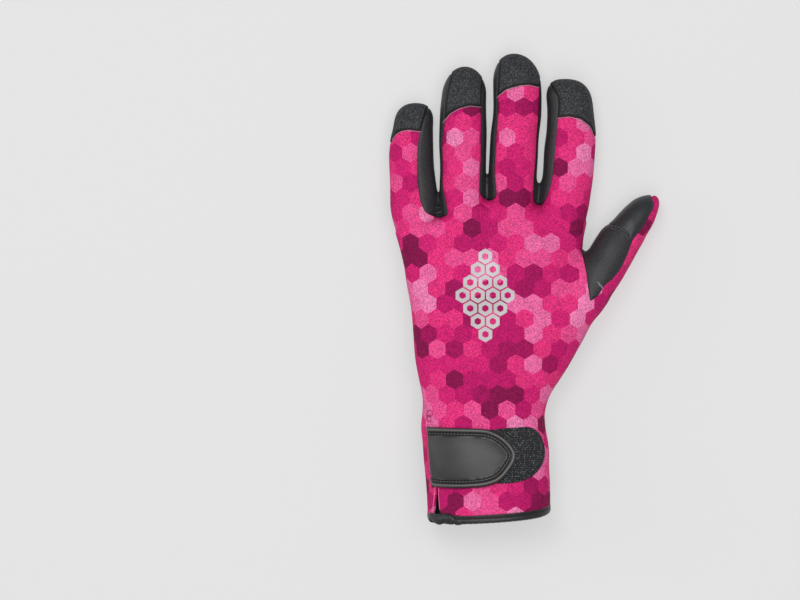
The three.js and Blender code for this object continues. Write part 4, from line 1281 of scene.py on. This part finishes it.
# wrist loop and ring
ring = {"radius": 7.8, "leg": 0.8, "bend": 1.4}
eye = web["wire"] + web["gap"]
pinch, tailEnd = web["y"] + 4.5, web["y"] + web["tail"]
around = np.linspace(math.pi / 2, math.pi * 3 / 2, 17)


def bandLine(reach, lead):
    # one side of the band: along the tail, round the ring's wire and back; lead holds y and height above the middle
    bend = np.stack([web["y"] + reach * np.cos(around), web["z"] + reach * np.sin(around)], 1)
    lead = np.array(lead)
    return np.vstack([lead + [0, web["z"]], bend, lead[::-1] * [1, -1] + [0, web["z"]]])


outerLine = bandLine(eye + web["layer"], [(tailEnd, web["layer"]), (pinch + 2, web["layer"] + 0.1),
                                          (pinch - 1.5, eye + web["layer"] * 0.8)])
innerLine = bandLine(eye, [(tailEnd, 0.02), (pinch + 1, 0.02), (pinch - 1.5, eye * 0.75)])
centreLine = (outerLine + innerLine) / 2
columns = [(-1, 0.3), (-0.96, 0.1), (-0.88, 0), (-0.6, 0), (-0.2, 0), (0.2, 0), (0.6, 0), (0.88, 0), (0.96, 0.1),
           (1.0, 0.3)]  # place across the band, how much thinner the edge is
verts = []
for line in (outerLine, innerLine):
    for across, thin in columns:
        q = line + (centreLine - line) * thin
        verts.append(np.column_stack([np.full(len(q), web["x"] + across * web["wide"] / 2), q]))
verts = np.concatenate(verts)
index = np.arange(len(verts)).reshape(2, len(columns), -1)
faces = np.concatenate([quadsOf(index[0]), quadsOf(index[1])[:, ::-1], quadsOf(index[:, 0])[:, ::-1],
                        quadsOf(index[:, -1]), quadsOf(index[:, :, 0]), quadsOf(index[:, :, -1])[:, ::-1]])
addPiece("webbing_loop.band", verts, faces, "ribbedWeb", verts[:, :2], 40)

path = []
bend, corner = ring["bend"], ring["radius"] - ring["bend"]
for cx, cy, radius, start, turn, steps in ((corner, -bend, bend, 0, math.pi / 2, 6),
                                           (-corner, -bend, bend, math.pi / 2, math.pi / 2, 6),
                                           (0, -bend - ring["leg"], ring["radius"], math.pi, math.pi, 40)):
    angles = start + turn * np.arange(steps + 1) / steps
    path.append(np.stack([cx + radius * np.cos(angles), cy + radius * np.sin(angles)], 1))
path = np.concatenate(path)
tilt = math.asin((web["z"] - web["wire"] - 0.1) / -path[:, 1].min())
wirePath = np.column_stack([web["x"] + path[:, 0], web["y"] + path[:, 1] * math.cos(tilt),
                            web["z"] + path[:, 1] * math.sin(tilt)])
up = np.tile([0, -math.sin(tilt), math.cos(tilt)], (len(path), 1))
verts, faces = sweep(wirePath, up, ovalSection(web["wire"], web["wire"], 16), closed=True)
addPiece("d_ring.wire", verts, faces, "ringWire", verts[:, :2], 60)
report("wrist loop and ring")

# thread: stitches repeated along lines
def stitchNodes():
    group = bpy.data.node_groups.new("stitches", "GeometryNodeTree")
    sockets = {}
    for name, kind in (("Lines", "Geometry"), ("Spacing", "Float"), ("Length", "Float"), ("Thickness", "Float"),
                       ("Thread", "Material")):
        sockets[name] = group.interface.new_socket(name, in_out="INPUT", socket_type="NodeSocket" + kind).identifier
    group.interface.new_socket("Stitches", in_out="OUTPUT", socket_type="NodeSocketGeometry")

    node = Nodes(group).node
    given = group.nodes.new("NodeGroupInput").outputs
    curve = node("GeometryNodeMeshToCurve", {"Mesh": given["Lines"]})
    spots = node("GeometryNodeCurveToPoints", {"Curve": curve.outputs["Curve"], "Length": given["Spacing"]},
                 mode="LENGTH")
    turn = node("FunctionNodeAlignRotationToVector", {"Vector": spots.outputs["Tangent"]}, axis="Z")
    half = node("ShaderNodeMath", {0: given["Length"], 1: 0.5}, operation="MULTIPLY")
    size = node("ShaderNodeCombineXYZ", {"X": given["Thickness"], "Y": given["Thickness"], "Z": half.outputs[0]})
    bead = node("GeometryNodeMeshUVSphere", {"Segments": 7, "Rings": 6, "Radius": 1.0})
    laid = node("GeometryNodeInstanceOnPoints", {
        "Points": spots.outputs["Points"], "Instance": bead.outputs["Mesh"],
        "Rotation": turn.outputs["Rotation"], "Scale": size.outputs["Vector"]})
    real = node("GeometryNodeRealizeInstances", {"Geometry": laid.outputs["Instances"]})
    smooth = node("GeometryNodeSetShadeSmooth", {"Geometry": real.outputs["Geometry"]})
    thread = node("GeometryNodeSetMaterial", {"Geometry": smooth.outputs["Geometry"], "Material": given["Thread"]})
    node("NodeGroupOutput", {0: thread.outputs["Geometry"]})
    return group, sockets


stitches, stitchSockets = stitchNodes()


def sewLines(name, lines, thread, spacing, length, thick, node):
    verts, edges = [], []
    for line in lines:
        edges += [(len(verts) + k, len(verts) + k + 1) for k in range(len(line) - 1)]
        verts += [tuple(q) for q in line]
    mesh = bpy.data.meshes.new(name)
    mesh.from_pydata(inFrame(verts).tolist(), edges, [])
    path = addObject(name + ".lines", mesh)
    modifier = path.modifiers.new("stitches", "NODES")
    modifier.node_group = stitches
    for key, value in (("Spacing", spacing), ("Length", length), ("Thickness", thick)):
        modifier[stitchSockets[key]] = value * mm
    modifier[stitchSockets["Thread"]] = bpy.data.materials[thread]
    graph = bpy.context.evaluated_depsgraph_get()
    made = bpy.data.meshes.new_from_object(path.evaluated_get(graph))
    bpy.data.objects.remove(path)
    place(addObject(name, made), node)


def alongside(path, distance):
    path = resample(path, 0.8)
    along = unit(np.gradient(path, axis=0))
    return path + np.stack([-along[:, 1], along[:, 0]], 1) * distance


def overCuff(flat):
    return ontoCuff(np.column_stack([flat, np.zeros(len(flat))]))


# strap, loop patch and binding
p, n = overCuff(insetPath(strapFlat, 3.3, closed=False))
sewLines("strap_stitches", [p + n * 2.5], "strapThread", 1.75, 1.2, 0.34, "strap_tab")
flat = insetPath(loopFlat, 1.7)
p, n = overCuff(flat[flat[:, 0] > flat[:, 0].max() - 30])
sewLines("loop_stitches", [p + n * 1.0], "blackThread", 2.3, 1.7, 0.3, "loop_patch")
down = unit(np.cross(hemNormals, np.gradient(hemLine, axis=0)))
down *= np.sign(-down[:, 1:2])
hemThread = bindPath - down * 1.9 * slim[:, None] + hemNormals * 0.85
sewLines("binding_stitches", [hemThread], "blackThread", 2.1, 1.5, 0.3, "hem_binding")

# thumb, edges of the caps, bar tacks
thumbLine = roundOutline([(40.0, 36.0), (43.8, 33.6), (47.4, 33.0), (50.8, 31.8), (54.0, 29.2), (56.0, 26.9),
                          (57.2, 24.0)], 4)[7:-8]
thumbRuns = [onSkin(alongside(thumbLine, d), 0.72) for d in (-0.9, -2.3)]
sewLines("thumb_stitches", thumbRuns, "greyThread", 1.9, 1.3, 0.2, "thumb_tip_patch")
capEnds = {"little": (-69.3, -53.8), "ring": (-42.6, -22.6), "middle": (-14.6, 8.0), "index": (17.4, 36.2)}
# along each cap's edge, stitches in the light grey of a painted highlight
for name, (left, right) in capEnds.items():
    line = resample(np.array(caps[name], float)[:-2], 0.5)
    line = line[(line[:, 0] > left) & (line[:, 0] < right)]
    sewLines("cap_edge_" + name, [onSkin(alongside(line, -0.4), -0.05)], "edgeThread", 0.9, 1.1, 0.2, "cap_" + name)
tack = []
for k in range(3):
    for row in range(2):
        x, y = 0.5 * k + 1.2 * row, -0.85 * k - 1.3 * row
        tack.append(onSkin([(37.9 + x, 3.4 + y), (39.1 + x, 2.7 + y)], 0.12, step=0.4))
sewLines("thumb_tack", tack, "silverThread", 0.5, 0.7, 0.15, "thumb_inner")
curl = [(-49.6 + 1.15 * math.cos(k * 0.5), -64.0 - 0.19 * k + 1.1 * math.sin(k * 0.5)) for k in range(27)]
sewLines("slit_tack", [onSkin(curl, 0.12, step=0.5)], "tackThread", 0.6, 0.9, 0.24, "back_panel")
slitLines = [[(-44.9, -101.0), (-44.7, -106.0), (-44.4, -111.0), (-44.1, -114.4)],
             [(-46.6, -101.0), (-46.7, -106.0), (-47.6, -114.2)]]
sewLines("slit_edges", [onSkin(line, 0.0) for line in slitLines], "paleThread", 0.9, 1.2, 0.24, "back_panel")

# palm side
palmLines = {
    "arc": [(18.7, 10.3), (13.4, 8.5), (7.8, 3.5), (3.7, -5.5), (2.0, -17.0)],
    "heel": [(2.0, -17.0), (-12.6, -14.7), (-30.3, -10.9), (-52.3, -7.2)],
    "first": [(30.0, 35.0), (0, 33.2), (-29.4, 30.5), (-55.1, 25.5)],
    "second": [(29.6, 30.6), (7.2, 29.5), (-25.8, 27.6), (-54.5, 20.5)],
    "third": [(28.4, 26.6), (7.1, 26.3), (-25.9, 24.0), (-53.9, 15.6)],
}
rows = [onSkin(alongside(palmLines[key], d), 0.98, False) for key, d in
        (("arc", -1.2), ("arc", -2.8), ("heel", -1.2), ("heel", -2.8), ("first", 0), ("second", 0), ("third", 0))]
sewLines("palm_stitches", rows, "blackThread", 2.4, 1.8, 0.22, "palm_patch")
for name, shape in tipShapes.items():
    line = insetPath(shape, 1.5)
    line = onSkin(np.vstack([line, line[:1]]), 0.98, False)
    sewLines("tip_stitches_" + name, [line], "blackThread", 2.2, 1.6, 0.2, "tip_patch_" + name)
report("stitches")


# floor, light and camera
floor = {"half": 4.0, "z": -0.0002, "paint": 150, "glow": 230, "strength": 0.59}
lamps = {  # place, aim, width in metres, power in watts
    "sideLamp": ((-1.3, 0.15, 0.55), (0, 0, 0.02), 0.7, 3),
    "keyLamp": ((-0.35, 0.5, 1.6), (0, 0, 0), 0.8, 9.6),
    "fillLamp": ((0.5, 0.1, 1.6), (0, 0, 0), 0.9, 6.5),
    "backLamp": ((0.0, -0.6, 1.5), (0, 0, 0), 1.0, 5.5),
}
view = {"lens": 276, "sensor": 36, "place": (-0.0654, -0.0055, 3.218)}

floorMesh = bpy.data.meshes.new("floor")
corners = [(-1, -1), (1, -1), (1, 1), (-1, 1)]
floorMesh.from_pydata([(x * floor["half"], y * floor["half"], floor["z"]) for x, y in corners], [], [(0, 1, 2, 3)])
floorMesh.materials.append(Shade("floorPaint").finish(
    Base_Color=tint(*[floor["paint"]] * 3), Roughness=0.95, Specular_IOR_Level=0.0,
    Emission_Color=tint(*[floor["glow"]] * 3), Emission_Strength=floor["strength"]))
addObject("floor", floorMesh)

for name, (where, aim, size, power) in lamps.items():
    data = bpy.data.lights.new(name, "AREA")
    data.shape, data.size, data.energy = "DISK", size, power
    lamp = addObject(name, data)
    lamp.location = where
    lamp.rotation_euler = (Vector(aim) - Vector(where)).to_track_quat("-Z", "Y").to_euler()
scene = bpy.context.scene
scene.world = scene.world or bpy.data.worlds.new("world")
scene.world.use_nodes = True
sky = scene.world.node_tree.nodes["Background"].inputs
sky["Color"].default_value, sky["Strength"].default_value = (1, 1, 1, 1), 0.30

camera = addObject("camera", bpy.data.cameras.new("camera"))
camera.data.lens, camera.data.sensor_width = view["lens"], view["sensor"]
camera.location = view["place"]
scene.camera = camera
scene.view_settings.view_transform = "Standard"

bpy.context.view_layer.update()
report("done")
